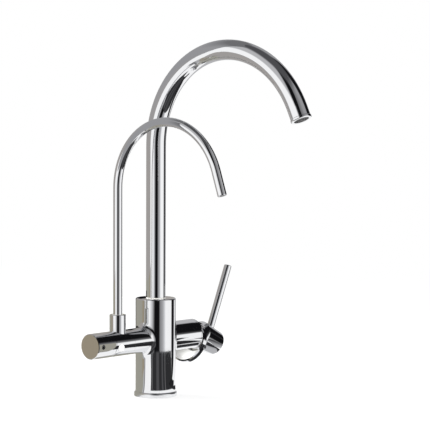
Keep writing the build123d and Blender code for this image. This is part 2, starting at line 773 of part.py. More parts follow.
# Mixing cartridge: fixed pieces
base_x = cartridge_seat_x + cartridge_seal_thick
fixed_x = base_x + cartridge_base_thick
moving_x = fixed_x + cartridge_disc_thick + run_gap
driver_x = moving_x + cartridge_disc_thick
cartridge_inner_dia = cartridge_dia - 2 * cartridge_wall
lip_x = cartridge_end_x - cartridge_lip
collar_x = lip_x - carrier_collar
bezel_end_x = mixer_arm_length + bezel_length

with BuildPart() as cartridge_seals:
    with BuildSketch(seat_plane):
        with Locations(*port_places):
            Circle(port_seal_dia / 2)
            Circle(port_dia / 2, mode=Mode.SUBTRACT)
    extrude(amount=cartridge_seal_thick)
cartridge_seals.part.label = "cartridge_seals"
export_step(cartridge_seals.part, "parts/cartridge_seals.step")

with BuildPart() as cartridge_base:
    with BuildSketch(seat_plane.offset(cartridge_seal_thick)):
        Circle(cartridge_dia / 2)
        with Locations(*port_places):
            Circle(port_dia / 2, mode=Mode.SUBTRACT)
    extrude(amount=cartridge_base_thick)
cartridge_base.part.label = "cartridge_base"
export_step(cartridge_base.part, "parts/cartridge_base.step")

with BuildPart() as cartridge_fixed_disc:
    with BuildSketch(Plane.YZ.offset(fixed_x)):
        with Locations((0, arm_z)):
            Circle(cartridge_inner_dia / 2 - slip_gap)
            with Locations(*port_places):
                Circle(port_dia / 2, mode=Mode.SUBTRACT)
    extrude(amount=cartridge_disc_thick)
cartridge_fixed_disc.part.label = "cartridge_fixed_disc"
export_step(cartridge_fixed_disc.part, "parts/cartridge_fixed_disc.step")

with BuildPart() as cartridge_housing:
    revolve(
        half_section(
            arm_section,
            (fixed_x, cartridge_inner_dia / 2),
            (fixed_x, cartridge_dia / 2),
            (cartridge_end_x, cartridge_dia / 2),
            (cartridge_end_x, carrier_neck_dia / 2 + run_gap),
            (lip_x, carrier_neck_dia / 2 + run_gap),
            (lip_x, cartridge_inner_dia / 2),
        ),
        axis=arm_axis,
    )
cartridge_housing.part.label = "cartridge_housing"
export_step(cartridge_housing.part, "parts/cartridge_housing.step")

with BuildPart() as cartridge_nut:
    revolve(
        half_section(
            arm_section,
            (cartridge_end_x, carrier_neck_dia / 2 + free_gap),
            (cartridge_end_x, nut_dia / 2 - slip_gap),
            (mixer_arm_length, nut_dia / 2 - slip_gap),
            (mixer_arm_length, nut_dog_dia / 2),
            (cartridge_end_x + nut_length, nut_dog_dia / 2),
            (cartridge_end_x + nut_length, carrier_neck_dia / 2 + free_gap),
        ),
        axis=arm_axis,
    )
cartridge_nut.part.label = "cartridge_nut"
export_step(cartridge_nut.part, "parts/cartridge_nut.step")

with BuildPart() as arm_bezel:
    with BuildSketch(Plane.YZ.offset(mixer_arm_length)):
        with Locations((0, arm_z)):
            Circle(mixer_arm_dia / 2)
            Circle(nut_dog_dia / 2 + slip_gap, mode=Mode.SUBTRACT)
    extrude(amount=bezel_length)
    outer_edges = arm_bezel.edges().filter_by(GeomType.CIRCLE).group_by(SortBy.LENGTH)[-1]
    chamfer(outer_edges.sort_by(Axis.X)[-1], bezel_edge)
    chamfer(outer_edges.sort_by(Axis.X)[0], free_gap)
arm_bezel.part.label = "arm_bezel"
export_step(arm_bezel.part, "parts/arm_bezel.step")

# Mixing cartridge: turning carrier with the lever's pivot pin
carrier_end_x = bezel_end_x + carrier_neck_proud
with BuildPart() as cartridge_carrier:
    revolve(
        half_section(
            arm_section,
            (collar_x, 0),
            (collar_x, cartridge_inner_dia / 2 - run_gap),
            (lip_x - run_gap, cartridge_inner_dia / 2 - run_gap),
            (lip_x - run_gap, carrier_neck_dia / 2),
            (carrier_end_x, carrier_neck_dia / 2),
            (carrier_end_x, 0),
        ),
        axis=arm_axis,
    )
    with BuildSketch(Plane.YZ.offset(collar_x)):
        with Locations((0, arm_z)):
            Rectangle(lever_slot_width, lever_slot_height)
    extrude(amount=carrier_end_x - collar_x, mode=Mode.SUBTRACT)
    with BuildSketch(arm_section):
        with Locations((pivot_x, 0)):
            Circle(pivot_pin_dia / 2 + run_gap)
    extrude(amount=carrier_neck_dia, both=True, mode=Mode.SUBTRACT)
cartridge_carrier.part.label = "cartridge_carrier"
export_step(cartridge_carrier.part, "parts/cartridge_carrier.step")

pin_half = sqrt((carrier_neck_dia / 2) ** 2 - (pivot_pin_dia / 2) ** 2) - slip_gap
with BuildPart() as lever_pivot_pin:
    with BuildSketch(arm_section):
        with Locations((pivot_x, 0)):
            Circle(pivot_pin_dia / 2)
    extrude(amount=pin_half, both=True)
lever_pivot_pin.part.label = "lever_pivot_pin"
export_step(lever_pivot_pin.part, "parts/lever_pivot_pin.step")

# Mixing cartridge: sliding disc and its driver, raised by the open lever
disc_rise = lever_inner_arm * sin(radians(handle_tilt))
with BuildPart() as cartridge_moving_disc:
    with BuildSketch(Plane.YZ.offset(moving_x)):
        with Locations((0, arm_z + disc_rise)):
            Circle(mixing_disc_dia / 2)
            RectangleRounded(port_circle_dia / 2, port_dia, port_dia / 3, mode=Mode.SUBTRACT)
    extrude(amount=cartridge_disc_thick)
cartridge_moving_disc.part.label = "cartridge_moving_disc"
export_step(cartridge_moving_disc.part, "parts/cartridge_moving_disc.step")

with BuildPart() as cartridge_driver:
    with BuildSketch(Plane.YZ.offset(driver_x)):
        with Locations((0, arm_z + disc_rise)):
            Circle(mixing_disc_dia / 2)
    extrude(amount=collar_x - slip_gap - driver_x)
    with BuildSketch(Plane.YZ.offset(collar_x - slip_gap)):
        with Locations((0, arm_z + disc_rise)):
            Circle(lever_ball_dia / 2 + free_gap)
    extrude(amount=-(collar_x - driver_x) / 2, mode=Mode.SUBTRACT)
cartridge_driver.part.label = "cartridge_driver"
export_step(cartridge_driver.part, "parts/cartridge_driver.step")

# Handle: cartridge lever, skirt, cap and pin
cap_front = cap_back + cap_length
skirt_front = skirt_back + skirt_rim_length
skirt_floor = cap_back - skirt_floor_thick
floor_share = (skirt_floor - skirt_front) / (cap_back - skirt_front)
floor_rise = floor_share * cap_rise - (1 - floor_share) * skirt_drop
floor_radius = floor_share * cap_dia / 2 + (1 - floor_share) * skirt_radius - skirt_wall
notch_end = carrier_end_x - pivot_x + skirt_clearance
lever_end = cap_back + lever_socket_depth
handle_down = tuple(-part for part in handle_up)
pin_foot = handle_section.from_local_coords((cap_back + pin_from_cap_back, 0))
screw_foot = handle_section.from_local_coords((cap_back + handle_screw_from_cap_back, 0))
pin_frame = Plane(origin=pin_foot, x_dir=handle_out, z_dir=handle_up)
screw_frame = Plane(origin=screw_foot, x_dir=handle_out, z_dir=handle_down)

with BuildPart() as cartridge_lever:
    with BuildSketch(handle_face.offset(-lever_bar_back)):
        Rectangle(lever_bar, lever_bar)
    extrude(amount=lever_bar_back + lever_end)
    with BuildSketch(handle_face.offset(-lever_bar_back)):
        Circle(lever_neck_dia / 2)
    extrude(amount=-(lever_inner_arm - lever_bar_back))
    with Locations(handle_face.offset(-lever_inner_arm)):
        Sphere(lever_ball_dia / 2)
    with BuildSketch(handle_section):
        Circle(pivot_pin_dia / 2 + run_gap)
    extrude(amount=lever_bar, both=True, mode=Mode.SUBTRACT)
cartridge_lever.part.label = "cartridge_lever"
export_step(cartridge_lever.part, "parts/cartridge_lever.step")

with BuildPart() as handle_skirt:
    with BuildSketch(handle_face.offset(skirt_front)):
        with Locations((0, -skirt_drop)):
            Circle(skirt_radius)
    with BuildSketch(handle_face.offset(cap_back)):
        with Locations((0, cap_rise)):
            Circle(cap_dia / 2)
    loft()
    with BuildSketch(handle_face.offset(skirt_back)):
        with Locations((0, -skirt_drop)):
            Circle(skirt_radius)
    extrude(amount=skirt_rim_length)
    with BuildSketch(handle_face.offset(skirt_front)):
        with Locations((0, -skirt_drop)):
            Circle(skirt_radius - skirt_wall)
    with BuildSketch(handle_face.offset(skirt_floor)):
        with Locations((0, floor_rise)):
            Circle(floor_radius)
    loft(mode=Mode.SUBTRACT)
    with BuildSketch(handle_face.offset(skirt_back)):
        with Locations((0, -skirt_drop)):
            Circle(skirt_radius - skirt_wall)
    extrude(amount=skirt_rim_length, mode=Mode.SUBTRACT)
    with BuildSketch(handle_face.offset(notch_end)):
        Circle(mixer_arm_dia / 2 + skirt_clearance)
    extrude(amount=skirt_back - notch_end, mode=Mode.SUBTRACT)
    with BuildSketch(handle_face.offset(skirt_floor)):
        Rectangle(lever_bar + 2 * slip_gap, lever_bar + 2 * slip_gap)
    extrude(amount=skirt_floor_thick, mode=Mode.SUBTRACT)
handle_skirt.part.label = "handle_skirt"
export_step(handle_skirt.part, "parts/handle_skirt.step")

with BuildPart() as handle_cap:
    revolve(
        half_section(
            cap_section,
            (cap_back, 0),
            (cap_back, cap_dia / 2),
            (cap_front, cap_end_dia / 2),
            (cap_front, 0),
        ),
        axis=cap_axis,
    )
    fillet(handle_cap.edges().filter_by(GeomType.CIRCLE).sort_by(cap_axis)[-1], cap_round)
    with BuildSketch(handle_face.offset(cap_back)):
        Rectangle(lever_bar + 2 * slip_gap, lever_bar + 2 * slip_gap)
    extrude(amount=lever_socket_depth + slip_gap, mode=Mode.SUBTRACT)
    with BuildSketch(pin_frame.offset(pin_seat)):
        Circle(pin_dia / 2 + slip_gap)
    extrude(amount=cap_dia, mode=Mode.SUBTRACT)
    with BuildSketch(screw_frame):
        Circle(handle_screw_dia / 2 + slip_gap)
    extrude(amount=cap_dia, mode=Mode.SUBTRACT)
handle_cap.part.label = "handle_cap"
export_step(handle_cap.part, "parts/handle_cap.step")

with BuildPart() as handle_pin:
    with BuildSketch(pin_frame.offset(pin_seat)):
        Circle(pin_dia / 2)
    extrude(amount=pin_tip - pin_seat)
    fillet(handle_pin.edges().filter_by(GeomType.CIRCLE).sort_by(Axis.Z)[-1], pin_round)
handle_pin.part.label = "handle_pin"
export_step(handle_pin.part, "parts/handle_pin.step")

with BuildPart() as handle_grub_screw:
    with BuildSketch(screw_frame.offset(lever_bar / 2)):
        Circle(handle_screw_dia / 2)
    extrude(amount=handle_screw_length)
    with BuildSketch(screw_frame.offset(lever_bar / 2 + handle_screw_length)):
        RegularPolygon(handle_screw_dia / 4, 6)
    extrude(amount=-handle_screw_dia / 2, mode=Mode.SUBTRACT)
handle_grub_screw.part.label = "handle_grub_screw"
export_step(handle_grub_screw.part, "parts/handle_grub_screw.step")
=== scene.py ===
"""Looks of a three-way kitchen mixer tap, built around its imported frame.

Metres, in the frame's own axes: the base stands on Z = 0, the mixer arm points to +X, the
filter arm to -X and both spouts point forward to -Y.
"""

from __future__ import annotations

import logging
import math
from dataclasses import dataclass, field
from enum import Enum

import bmesh
import bpy
from mathutils import Matrix, Quaternion, Vector

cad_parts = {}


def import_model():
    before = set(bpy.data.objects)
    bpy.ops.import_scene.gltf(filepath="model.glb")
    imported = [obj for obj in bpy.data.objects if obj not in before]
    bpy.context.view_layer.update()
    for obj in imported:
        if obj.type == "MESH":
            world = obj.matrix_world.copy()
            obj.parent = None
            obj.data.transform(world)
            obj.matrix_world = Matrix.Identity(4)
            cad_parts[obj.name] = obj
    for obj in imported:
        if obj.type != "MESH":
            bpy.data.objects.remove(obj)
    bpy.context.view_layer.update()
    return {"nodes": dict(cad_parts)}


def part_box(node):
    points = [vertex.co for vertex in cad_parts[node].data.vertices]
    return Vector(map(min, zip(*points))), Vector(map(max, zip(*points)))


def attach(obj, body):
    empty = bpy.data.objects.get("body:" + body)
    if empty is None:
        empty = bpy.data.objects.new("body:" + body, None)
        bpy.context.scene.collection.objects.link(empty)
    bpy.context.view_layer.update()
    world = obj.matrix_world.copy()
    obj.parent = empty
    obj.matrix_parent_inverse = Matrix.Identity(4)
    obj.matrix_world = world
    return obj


Colour = tuple[float, float, float]
Corner = tuple[float, float, float]
Stops = tuple[tuple[float, Colour], ...]

LOG = logging.getLogger("tap_scene")


class Slot(Enum):
    """Material slots of the record."""

    BRASS = "brass"
    STEEL = "steel"
    WHITE_PLASTIC = "white_plastic"


class Graph:
    """Thin wrapper that adds and links the nodes of one shader tree.

    Attributes:
        COLOUR_INPUTS: Places of the two colours among a Mix node's inputs.
        COLOUR_OUTPUT: Place of the mixed colour among its outputs.
        tree: The node tree.
    """

    COLOUR_INPUTS: tuple[int, int] = (6, 7)
    COLOUR_OUTPUT: int = 2

    def __init__(self, tree: bpy.types.NodeTree) -> None:
        """Starts from an emptied tree.

        Args:
            tree: The node tree to fill.
        """
        self.tree = tree
        tree.nodes.clear()

    def add(self, kind: str, **values: object) -> bpy.types.Node:
        """Adds a node and sets its properties.

        Args:
            kind: The node's type name, without its ShaderNode prefix.
            values: Properties of the node, by name.

        Returns:
            The new node.
        """
        node = self.tree.nodes.new(f"ShaderNode{kind}")
        for name, value in values.items():
            setattr(node, name, value)
        return node

    def link(self, source: bpy.types.NodeSocket, target: bpy.types.NodeSocket) -> None:
        """Joins an output to an input."""
        self.tree.links.new(source, target)

    def math(self, operation: str, *inputs: object) -> bpy.types.NodeSocket:
        """Adds a Math node.

        Args:
            operation: Blender's name of the operation.
            inputs: Sockets or plain numbers, in order.

        Returns:
            The value socket.
        """
        node = self.add("Math", operation=operation)
        for socket, value in zip(node.inputs, inputs):
            self.feed(value, socket)
        return node.outputs["Value"]

    def dot(self, vector: bpy.types.NodeSocket, axis: Vector) -> bpy.types.NodeSocket:
        """Adds the share of a vector along a fixed axis.

        Args:
            vector: The vector socket.
            axis: The axis, of unit length.

        Returns:
            The value socket.
        """
        node = self.add("VectorMath", operation="DOT_PRODUCT")
        self.link(vector, node.inputs[0])
        node.inputs[1].default_value = axis
        return node.outputs["Value"]

    def feed(self, value: object, socket: bpy.types.NodeSocket) -> None:
        """Links a socket to an input, or sets a plain value on it.

        Args:
            value: The socket, or the plain value.
            socket: The input.
        """
        if isinstance(value, bpy.types.NodeSocket):
            self.link(value, socket)
        else:
            socket.default_value = value

    def ramp(self, value: bpy.types.NodeSocket, stops: Stops) -> bpy.types.NodeSocket:
        """Adds a colour ramp.

        Args:
            value: The socket that runs along the ramp.
            stops: Places from 0 to 1, each with its colour.

        Returns:
            The colour socket.
        """
        node = self.add("ValToRGB")
        elements = node.color_ramp.elements
        while len(elements) < len(stops):
            elements.new(1.0)
        for element, (place, colour) in zip(elements, stops):
            element.position = place
            element.color = (*colour, 1.0)
        self.link(value, node.inputs["Fac"])
        return node.outputs["Color"]

    def spread(
        self, value: bpy.types.NodeSocket, low: float, high: float, smooth: bool = False
    ) -> bpy.types.NodeSocket:
        """Maps a range of values onto 0 to 1, clamped.

        Args:
            value: The socket to map.
            low: The value that becomes 0.
            high: The value that becomes 1.
            smooth: True for a smooth step instead of a straight one.

        Returns:
            The mapped value socket.
        """
        node = self.add("MapRange", interpolation_type="SMOOTHSTEP" if smooth else "LINEAR")
        self.link(value, node.inputs["Value"])
        node.inputs["From Min"].default_value = low
        node.inputs["From Max"].default_value = high
        return node.outputs["Result"]

    def mix_colour(self, share: object, first: object, second: object) -> bpy.types.NodeSocket:
        """Mixes two colours.

        Args:
            share: How much of the second colour shows.
            first: A colour socket or value.
            second: A colour socket or value.

        Returns:
            The colour socket.
        """
        node = self.add("Mix", data_type="RGBA")
        self.feed(share, node.inputs["Factor"])
        for colour, place in zip((first, second), self.COLOUR_INPUTS):
            self.feed(colour, node.inputs[place])
        return node.outputs[self.COLOUR_OUTPUT]

    def mix_shader(
        self, share: object, first: bpy.types.NodeSocket, second: bpy.types.NodeSocket
    ) -> bpy.types.NodeSocket:
        """Mixes two shaders.

        Args:
            share: How much of the second shader shows.
            first: A shader socket.
            second: A shader socket.

        Returns:
            The shader socket.
        """
        node = self.add("MixShader")
        self.feed(share, node.inputs[0])
        self.link(first, node.inputs[1])
        self.link(second, node.inputs[2])
        return node.outputs["Shader"]


def new_material(name: str) -> tuple[bpy.types.Material, Graph]:
    """Makes a material with an empty tree.

    Args:
        name: The material's name.

    Returns:
        The material and its tree.
    """
    material = bpy.data.materials.new(name)
    material.use_nodes = True
    return material, Graph(material.node_tree)


@dataclass(frozen=True)
class Finish:
    """A surface finish, made as one material with detail from Object coordinates.

    Attributes:
        name: The material's name.
        colour: Base colour, linear.
        metallic: 1 for bare or plated metal.
        roughness: Lowest and highest roughness.
        grain: Patches of roughness per metre.
        bump: Height of the surface's unevenness in metres.
        bump_scale: Bumps per metre.
        shade: Share by which patches darken the colour.
        stretch: Scale of the pattern along X, Y and Z.
        patch_detail: Octaves of finer noise in the patches.
        bump_detail: Octaves of finer noise in the bumps.
    """

    name: str
    colour: Colour
    metallic: float = 0.0
    roughness: tuple[float, float] = (0.4, 0.5)
    grain: float = 400.0
    bump: float = 0.0
    bump_scale: float = 800.0
    shade: float = 0.08
    stretch: tuple[float, float, float] = (1.0, 1.0, 1.0)
    patch_detail: float = 4.0
    bump_detail: float = 2.0

    def material(self) -> bpy.types.Material:
        """Returns the material, made on first use."""
        return bpy.data.materials.get(self.name) or self._make()

    def _make(self) -> bpy.types.Material:
        """Builds the node tree.

        Returns:
            The new material.
        """
        made, graph = new_material(self.name)
        shader = graph.add("BsdfPrincipled")
        shader.inputs["Metallic"].default_value = self.metallic
        place = graph.add("Mapping")
        place.inputs["Scale"].default_value = self.stretch
        graph.link(graph.add("TexCoord").outputs["Object"], place.inputs["Vector"])
        patches = self._noise(graph, place, self.grain, self.patch_detail)
        darker = tuple(value * (1.0 - self.shade) for value in self.colour)
        tone = graph.mix_colour(patches, (*self.colour, 1.0), (*darker, 1.0))
        graph.link(tone, shader.inputs["Base Color"])
        gloss = graph.add("MapRange")
        graph.link(patches, gloss.inputs["Value"])
        gloss.inputs["To Min"].default_value = self.roughness[0]
        gloss.inputs["To Max"].default_value = self.roughness[1]
        graph.link(gloss.outputs["Result"], shader.inputs["Roughness"])
        if self.bump:
            relief = graph.add("Bump")
            relief.inputs["Distance"].default_value = self.bump
            bumps = self._noise(graph, place, self.bump_scale, self.bump_detail)
            graph.link(bumps, relief.inputs["Height"])
            graph.link(relief.outputs["Normal"], shader.inputs["Normal"])
        output = graph.add("OutputMaterial")
        graph.link(shader.outputs["BSDF"], output.inputs["Surface"])
        return made

    @staticmethod
    def _noise(
        graph: Graph, place: bpy.types.Node, scale: float, detail: float
    ) -> bpy.types.NodeSocket:
        """Adds a noise texture.

        Args:
            graph: The tree to add to.
            place: The mapping node that gives the coordinates.
            scale: Features per metre.
            detail: Octaves of finer noise.

        Returns:
            The noise value socket.
        """
        node = graph.add("TexNoise")
        node.inputs["Scale"].default_value = scale
        node.inputs["Detail"].default_value = detail
        graph.link(place.outputs["Vector"], node.inputs["Vector"])
        return node.outputs["Fac"]


CAST_CHROME = Finish(
    name="cast_chrome",
    colour=(0.88, 0.885, 0.90),
    metallic=1.0,
    roughness=(0.025, 0.05),
    grain=160.0,
    bump=4e-6,
    bump_scale=90.0,
    shade=0.03,
)
TUBE_CHROME = Finish(
    name="tube_chrome",
    colour=(0.90, 0.905, 0.92),
    metallic=1.0,
    roughness=(0.02, 0.04),
    grain=220.0,
    shade=0.03,
    stretch=(1.0, 1.0, 0.15),
)
TURNED_CHROME = Finish(
    name="turned_chrome",
    colour=(0.88, 0.885, 0.90),
    metallic=1.0,
    roughness=(0.025, 0.05),
    grain=300.0,
    shade=0.03,
)
SATIN_CHROME = Finish(
    name="satin_chrome",
    colour=(0.86, 0.865, 0.88),
    metallic=1.0,
    roughness=(0.2, 0.28),
    grain=300.0,
    shade=0.03,
)
BRASS = Finish(
    name="machined_brass",
    colour=(0.70, 0.46, 0.18),
    metallic=1.0,
    roughness=(0.22, 0.36),
    grain=900.0,
    bump=6e-6,
    bump_scale=2600.0,
    shade=0.15,
)
STEEL = Finish(
    name="screw_steel",
    colour=(0.42, 0.42, 0.43),
    metallic=1.0,
    roughness=(0.25, 0.42),
    grain=1500.0,
    bump=5e-6,
    bump_scale=4000.0,
    shade=0.2,
)
RUBBER = Finish(
    name="seal_rubber",
    colour=(0.012, 0.012, 0.013),
    roughness=(0.55, 0.75),
    grain=1200.0,
    bump=1e-5,
    bump_scale=5000.0,
    shade=0.3,
)
NYLON = Finish(
    name="white_nylon",
    colour=(0.78, 0.77, 0.73),
    roughness=(0.32, 0.45),
    grain=700.0,
    bump=6e-6,
    bump_scale=3000.0,
    shade=0.05,
)
CERAMIC = Finish(
    name="disc_ceramic",
    colour=(0.80, 0.78, 0.72),
    roughness=(0.12, 0.2),
    grain=2000.0,
    bump=2e-6,
    bump_scale=6000.0,
    shade=0.06,
)
INDEX_WHITE = Finish(
    name="index_white",
    colour=(0.86, 0.86, 0.85),
    roughness=(0.18, 0.26),
    grain=900.0,
    bump=3e-6,
    bump_scale=2500.0,
    shade=0.03,
)


def mesh_object(name: str, shape: bmesh.types.BMesh, material: bpy.types.Material) -> bpy.types.Object:
    """Makes an object of a shape.

    Args:
        name: The object's name.
        shape: The shape, which is freed.
        material: Its material.

    Returns:
        The new object, at the origin.
    """
    mesh = bpy.data.meshes.new(name)
    shape.to_mesh(mesh)
    shape.free()
    mesh.materials.append(material)
    made = bpy.data.objects.new(name, mesh)
    bpy.context.scene.collection.objects.link(made)
    return made


def add_piece(
    name: str, shape: bmesh.types.BMesh, finish: Finish, smooth: bool = False
) -> bpy.types.Object:
    """Makes a piece of a finished shape, with its normals turned outwards.

    Args:
        name: The piece's name.
        shape: The shape, which is freed.
        finish: Its finish.
        smooth: True where the faces are shaded smooth.

    Returns:
        The new object, at the origin.
    """
    bmesh.ops.recalc_face_normals(shape, faces=shape.faces)
    for face in shape.faces:
        face.smooth = smooth
    piece = mesh_object(name, shape, finish.material())
    return piece


@dataclass(frozen=True)
class Thread:
    """Screw thread inside a drilled hole, as one helical ridge.

    Attributes:
        radius: Radius of the drilled hole.
        pitch: Rise in one turn.
        length: Threaded length, from the hole's mouth upwards.
        height: How far the ridge stands inwards.
        sink: How far the ridge's foot goes into the wall.
        flank: Half the width of the ridge's foot, as a share of the pitch.
        steps: Steps in one turn.
    """

    radius: float
    pitch: float
    length: float
    height: float = 0.0005
    sink: float = 0.0001
    flank: float = 0.42
    steps: int = 36

    def cut(self, shape: bmesh.types.BMesh, mouth: Vector) -> None:
        """Adds the ridge to a shape.

        Args:
            shape: The shape to add to.
            mouth: Centre of the hole's mouth.
        """
        foot = self.radius + self.sink
        half = self.pitch * self.flank
        start = mouth + Vector((0.0, 0.0, self.pitch / 2))
        crest = start + Vector((self.radius - self.height, 0.0, 0.0))
        verts = [shape.verts.new(start + Vector((foot, 0.0, side))) for side in (-half, half)]
        verts.append(shape.verts.new(crest))
        profile = [shape.edges.new((verts[i], verts[i - 1])) for i in range(3)]
        turns = self.length / self.pitch - 1.0
        steps = round(turns * self.steps)
        made = bmesh.ops.spin(
            shape,
            geom=verts + profile,
            cent=mouth,
            axis=(0.0, 0.0, 1.0),
            dvec=(0.0, 0.0, self.pitch / self.steps),
            angle=math.tau * steps / self.steps,
            steps=steps,
            use_merge=False,
            use_duplicate=False,
        )
        last = [item for item in made["geom_last"] if isinstance(item, bmesh.types.BMEdge)]
        for ring in (profile, last):
            bmesh.ops.contextual_create(shape, geom=ring)


@dataclass(frozen=True)
class Gooseneck:
    """Centre line of a spout: riser, arch and straight outlet.

    Attributes:
        x: X of the riser.
        spring_z: Height at which the arch begins.
        radius: Radius of the arch.
        sweep: Degrees that the arch turns through.
        straight: Length of the straight outlet.
    """

    x: float
    spring_z: float
    radius: float
    sweep: float
    straight: float

    def outlet(self, along: float) -> Matrix:
        """Frame at the outlet, with Z along the water.

        Args:
            along: How far past the tube's end the frame stands.

        Returns:
            The frame as a matrix.
        """
        lean = math.radians(180.0 - self.sweep)
        reach = self.straight + along
        forward = self.radius * (1.0 + math.cos(lean)) + reach * math.sin(lean)
        height = self.spring_z + self.radius * math.sin(lean) - reach * math.cos(lean)
        turn = Matrix.Rotation(math.pi - lean, 4, "X")
        return Matrix.Translation((self.x, -forward, height)) @ turn


@dataclass
class SubAssembly:
    """Pieces of the frame that are dressed together.

    Attributes:
        body: Body that new pieces of this sub-assembly ride on.
        coats: Finish of each node, by the node's name.
    """

    body: str = ""
    coats: dict[str, Finish] = field(default_factory=dict)

    def build(self) -> list[bpy.types.Object]:
        """Makes the sub-assembly's new pieces; none unless a class adds them."""
        return []

    def dress(self, nodes: dict[str, bpy.types.Object]) -> None:
        """Gives every node its finish.

        Args:
            nodes: The frame's node objects by name.
        """
        for name, finish in self.coats.items():
            mesh = nodes[name].data
            mesh.materials.clear()
            mesh.materials.append(finish.material())
            LOG.info("%s: %s", name, finish.name)


@dataclass
class Barrel(SubAssembly):
    """Upright barrel with its base, inlets and spout bushes.

    Attributes:
        inlet_circle: Radius of the circle that the three inlets lie on.
        inlet_turns: Degrees from +X at which they lie on it.
        inlet_thread: Thread of an inlet.
        stud_thread: Thread of the fixing stud's hole.
    """

    body: str = "tap_body"
    inlet_circle: float = 0.0105
    inlet_turns: tuple[float, ...] = (180.0, 60.0, -60.0)
    inlet_thread: Thread = Thread(radius=0.0045, pitch=0.001, length=0.012)
    stud_thread: Thread = Thread(radius=0.0034, pitch=0.00125, length=0.014)
    coats: dict[str, Finish] = field(
        default_factory=lambda: {
            "main_body": CAST_CHROME,
            "base_ring": SATIN_CHROME,
            "base_seal": RUBBER,
            "inlet_block": BRASS,
            "spout_lower_bush": NYLON,
            "spout_upper_bush": NYLON,
            "spout_lock_screw": STEEL,
        }
    )

    def build(self) -> list[bpy.types.Object]:
        """Cuts the threads in the underside block.

        Returns:
            The stud hole's and the inlets' threads.
        """
        mouth_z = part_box("inlet_block")[0][2]
        stud = bmesh.new()
        self.stud_thread.cut(stud, Vector((0.0, 0.0, mouth_z)))
        inlets = bmesh.new()
        for turn in map(math.radians, self.inlet_turns):
            place = Vector((math.cos(turn), math.sin(turn), 0.0)) * self.inlet_circle
            place.z = mouth_z
            self.inlet_thread.cut(inlets, place)
        return [
            add_piece("stud_hole_thread", stud, BRASS),
            add_piece("inlet_threads", inlets, BRASS),
        ]


@dataclass
class MainSpout(SubAssembly):
    """Tall swivel gooseneck with its aerator.

    Attributes:
        neck: The spout's centre line.
        gauze_radius: Radius of the wire gauze in the aerator's mouth.
        gauze_place: How far past the tube's end the gauze lies.
        wire_radius: Radius of one wire.
        wire_pitch: Distance between two wires.
        wire_sides: Sides of one wire.
        weave: How far a layer of wires lies off the gauze's middle, as a share of a wire's radius.
    """

    body: str = "main_spout"
    neck: Gooseneck = Gooseneck(x=0.0, spring_z=0.28, radius=0.107, sweep=154.5, straight=0.011)
    gauze_radius: float = 0.0082
    gauze_place: float = 0.00252
    wire_radius: float = 0.00014
    wire_pitch: float = 0.00096
    wire_sides: int = 6
    weave: float = 0.9
    coats: dict[str, Finish] = field(
        default_factory=lambda: {
            "main_spout_tube": TUBE_CHROME,
            "main_spigot": BRASS,
            "main_spigot_rings": RUBBER,
            "aerator_housing": TURNED_CHROME,
            "aerator_insert": NYLON,
            "aerator_seal": RUBBER,
        }
    )

    def build(self) -> list[bpy.types.Object]:
        """Weaves the wire gauze of the aerator.

        Returns:
            The gauze.
        """
        shape = bmesh.new()
        count = int(self.gauze_radius / self.wire_pitch)
        lift = self.wire_radius * self.weave
        for layer, turn in ((-lift, 0.0), (lift, math.pi / 2)):
            for index in range(-count, count + 1):
                self._wire(shape, index * self.wire_pitch, layer, turn)
        bmesh.ops.transform(shape, matrix=self.neck.outlet(self.gauze_place), verts=shape.verts)
        return [add_piece("aerator_gauze", shape, STEEL, smooth=True)]

    def _wire(self, shape: bmesh.types.BMesh, aside: float, lift: float, turn: float) -> None:
        """Adds one wire of the gauze, as long as the round opening is there.

        Args:
            shape: The shape to add to.
            aside: The wire's distance from the middle.
            lift: Its height in the weave.
            turn: Its turn about the outlet in radians.
        """
        length = 2.0 * math.sqrt(self.gauze_radius**2 - aside**2)
        lie = Matrix.Rotation(turn, 4, "Z") @ Matrix.Translation((0.0, aside, lift))
        bmesh.ops.create_cone(
            shape,
            cap_ends=True,
            segments=self.wire_sides,
            radius1=self.wire_radius,
            radius2=self.wire_radius,
            depth=length,
            matrix=lie @ Matrix.Rotation(math.pi / 2, 4, "Y"),
        )


@dataclass
class FilterSpout(SubAssembly):
    """Slim swivel gooseneck for filtered water.

    Attributes:
        neck: The spout's centre line.
        star_radius: Radius of the flow star's points, which touch the nozzle's bore.
        star_hub: Radius of the star between its points.
        star_points: Number of points.
        star_place: How far past the tube's end the star's lower face lies.
        star_length: The star's length along the water.
    """

    body: str = "filter_spout"
    neck: Gooseneck = Gooseneck(x=-0.061, spring_z=0.2355, radius=0.074, sweep=161.0, straight=0.0245)
    star_radius: float = 0.00248
    star_hub: float = 0.0008
    star_points: int = 6
    star_place: float = 0.0018
    star_length: float = 0.004
    coats: dict[str, Finish] = field(
        default_factory=lambda: {
            "filter_spout_tube": TUBE_CHROME,
            "filter_spigot": BRASS,
            "filter_spigot_rings": RUBBER,
            "filter_nozzle": TURNED_CHROME,
        }
    )

    def build(self) -> list[bpy.types.Object]:
        """Makes the star that straightens the flow in the nozzle.

        Returns:
            The star.
        """
        shape = bmesh.new()
        bmesh.ops.create_circle(shape, cap_ends=True, segments=2 * self.star_points, radius=self.star_hub)
        reach = self.star_radius / self.star_hub
        bmesh.ops.scale(shape, vec=(reach, reach, 1.0), verts=list(shape.verts)[::2])
        made = bmesh.ops.extrude_face_region(shape, geom=shape.faces[:], use_keep_orig=True)
        raised = [item for item in made["geom"] if isinstance(item, bmesh.types.BMVert)]
        bmesh.ops.translate(shape, vec=(0.0, 0.0, -self.star_length), verts=raised)
        bmesh.ops.transform(shape, matrix=self.neck.outlet(self.star_place), verts=shape.verts)
        return [add_piece("nozzle_flow_star", shape, NYLON)]


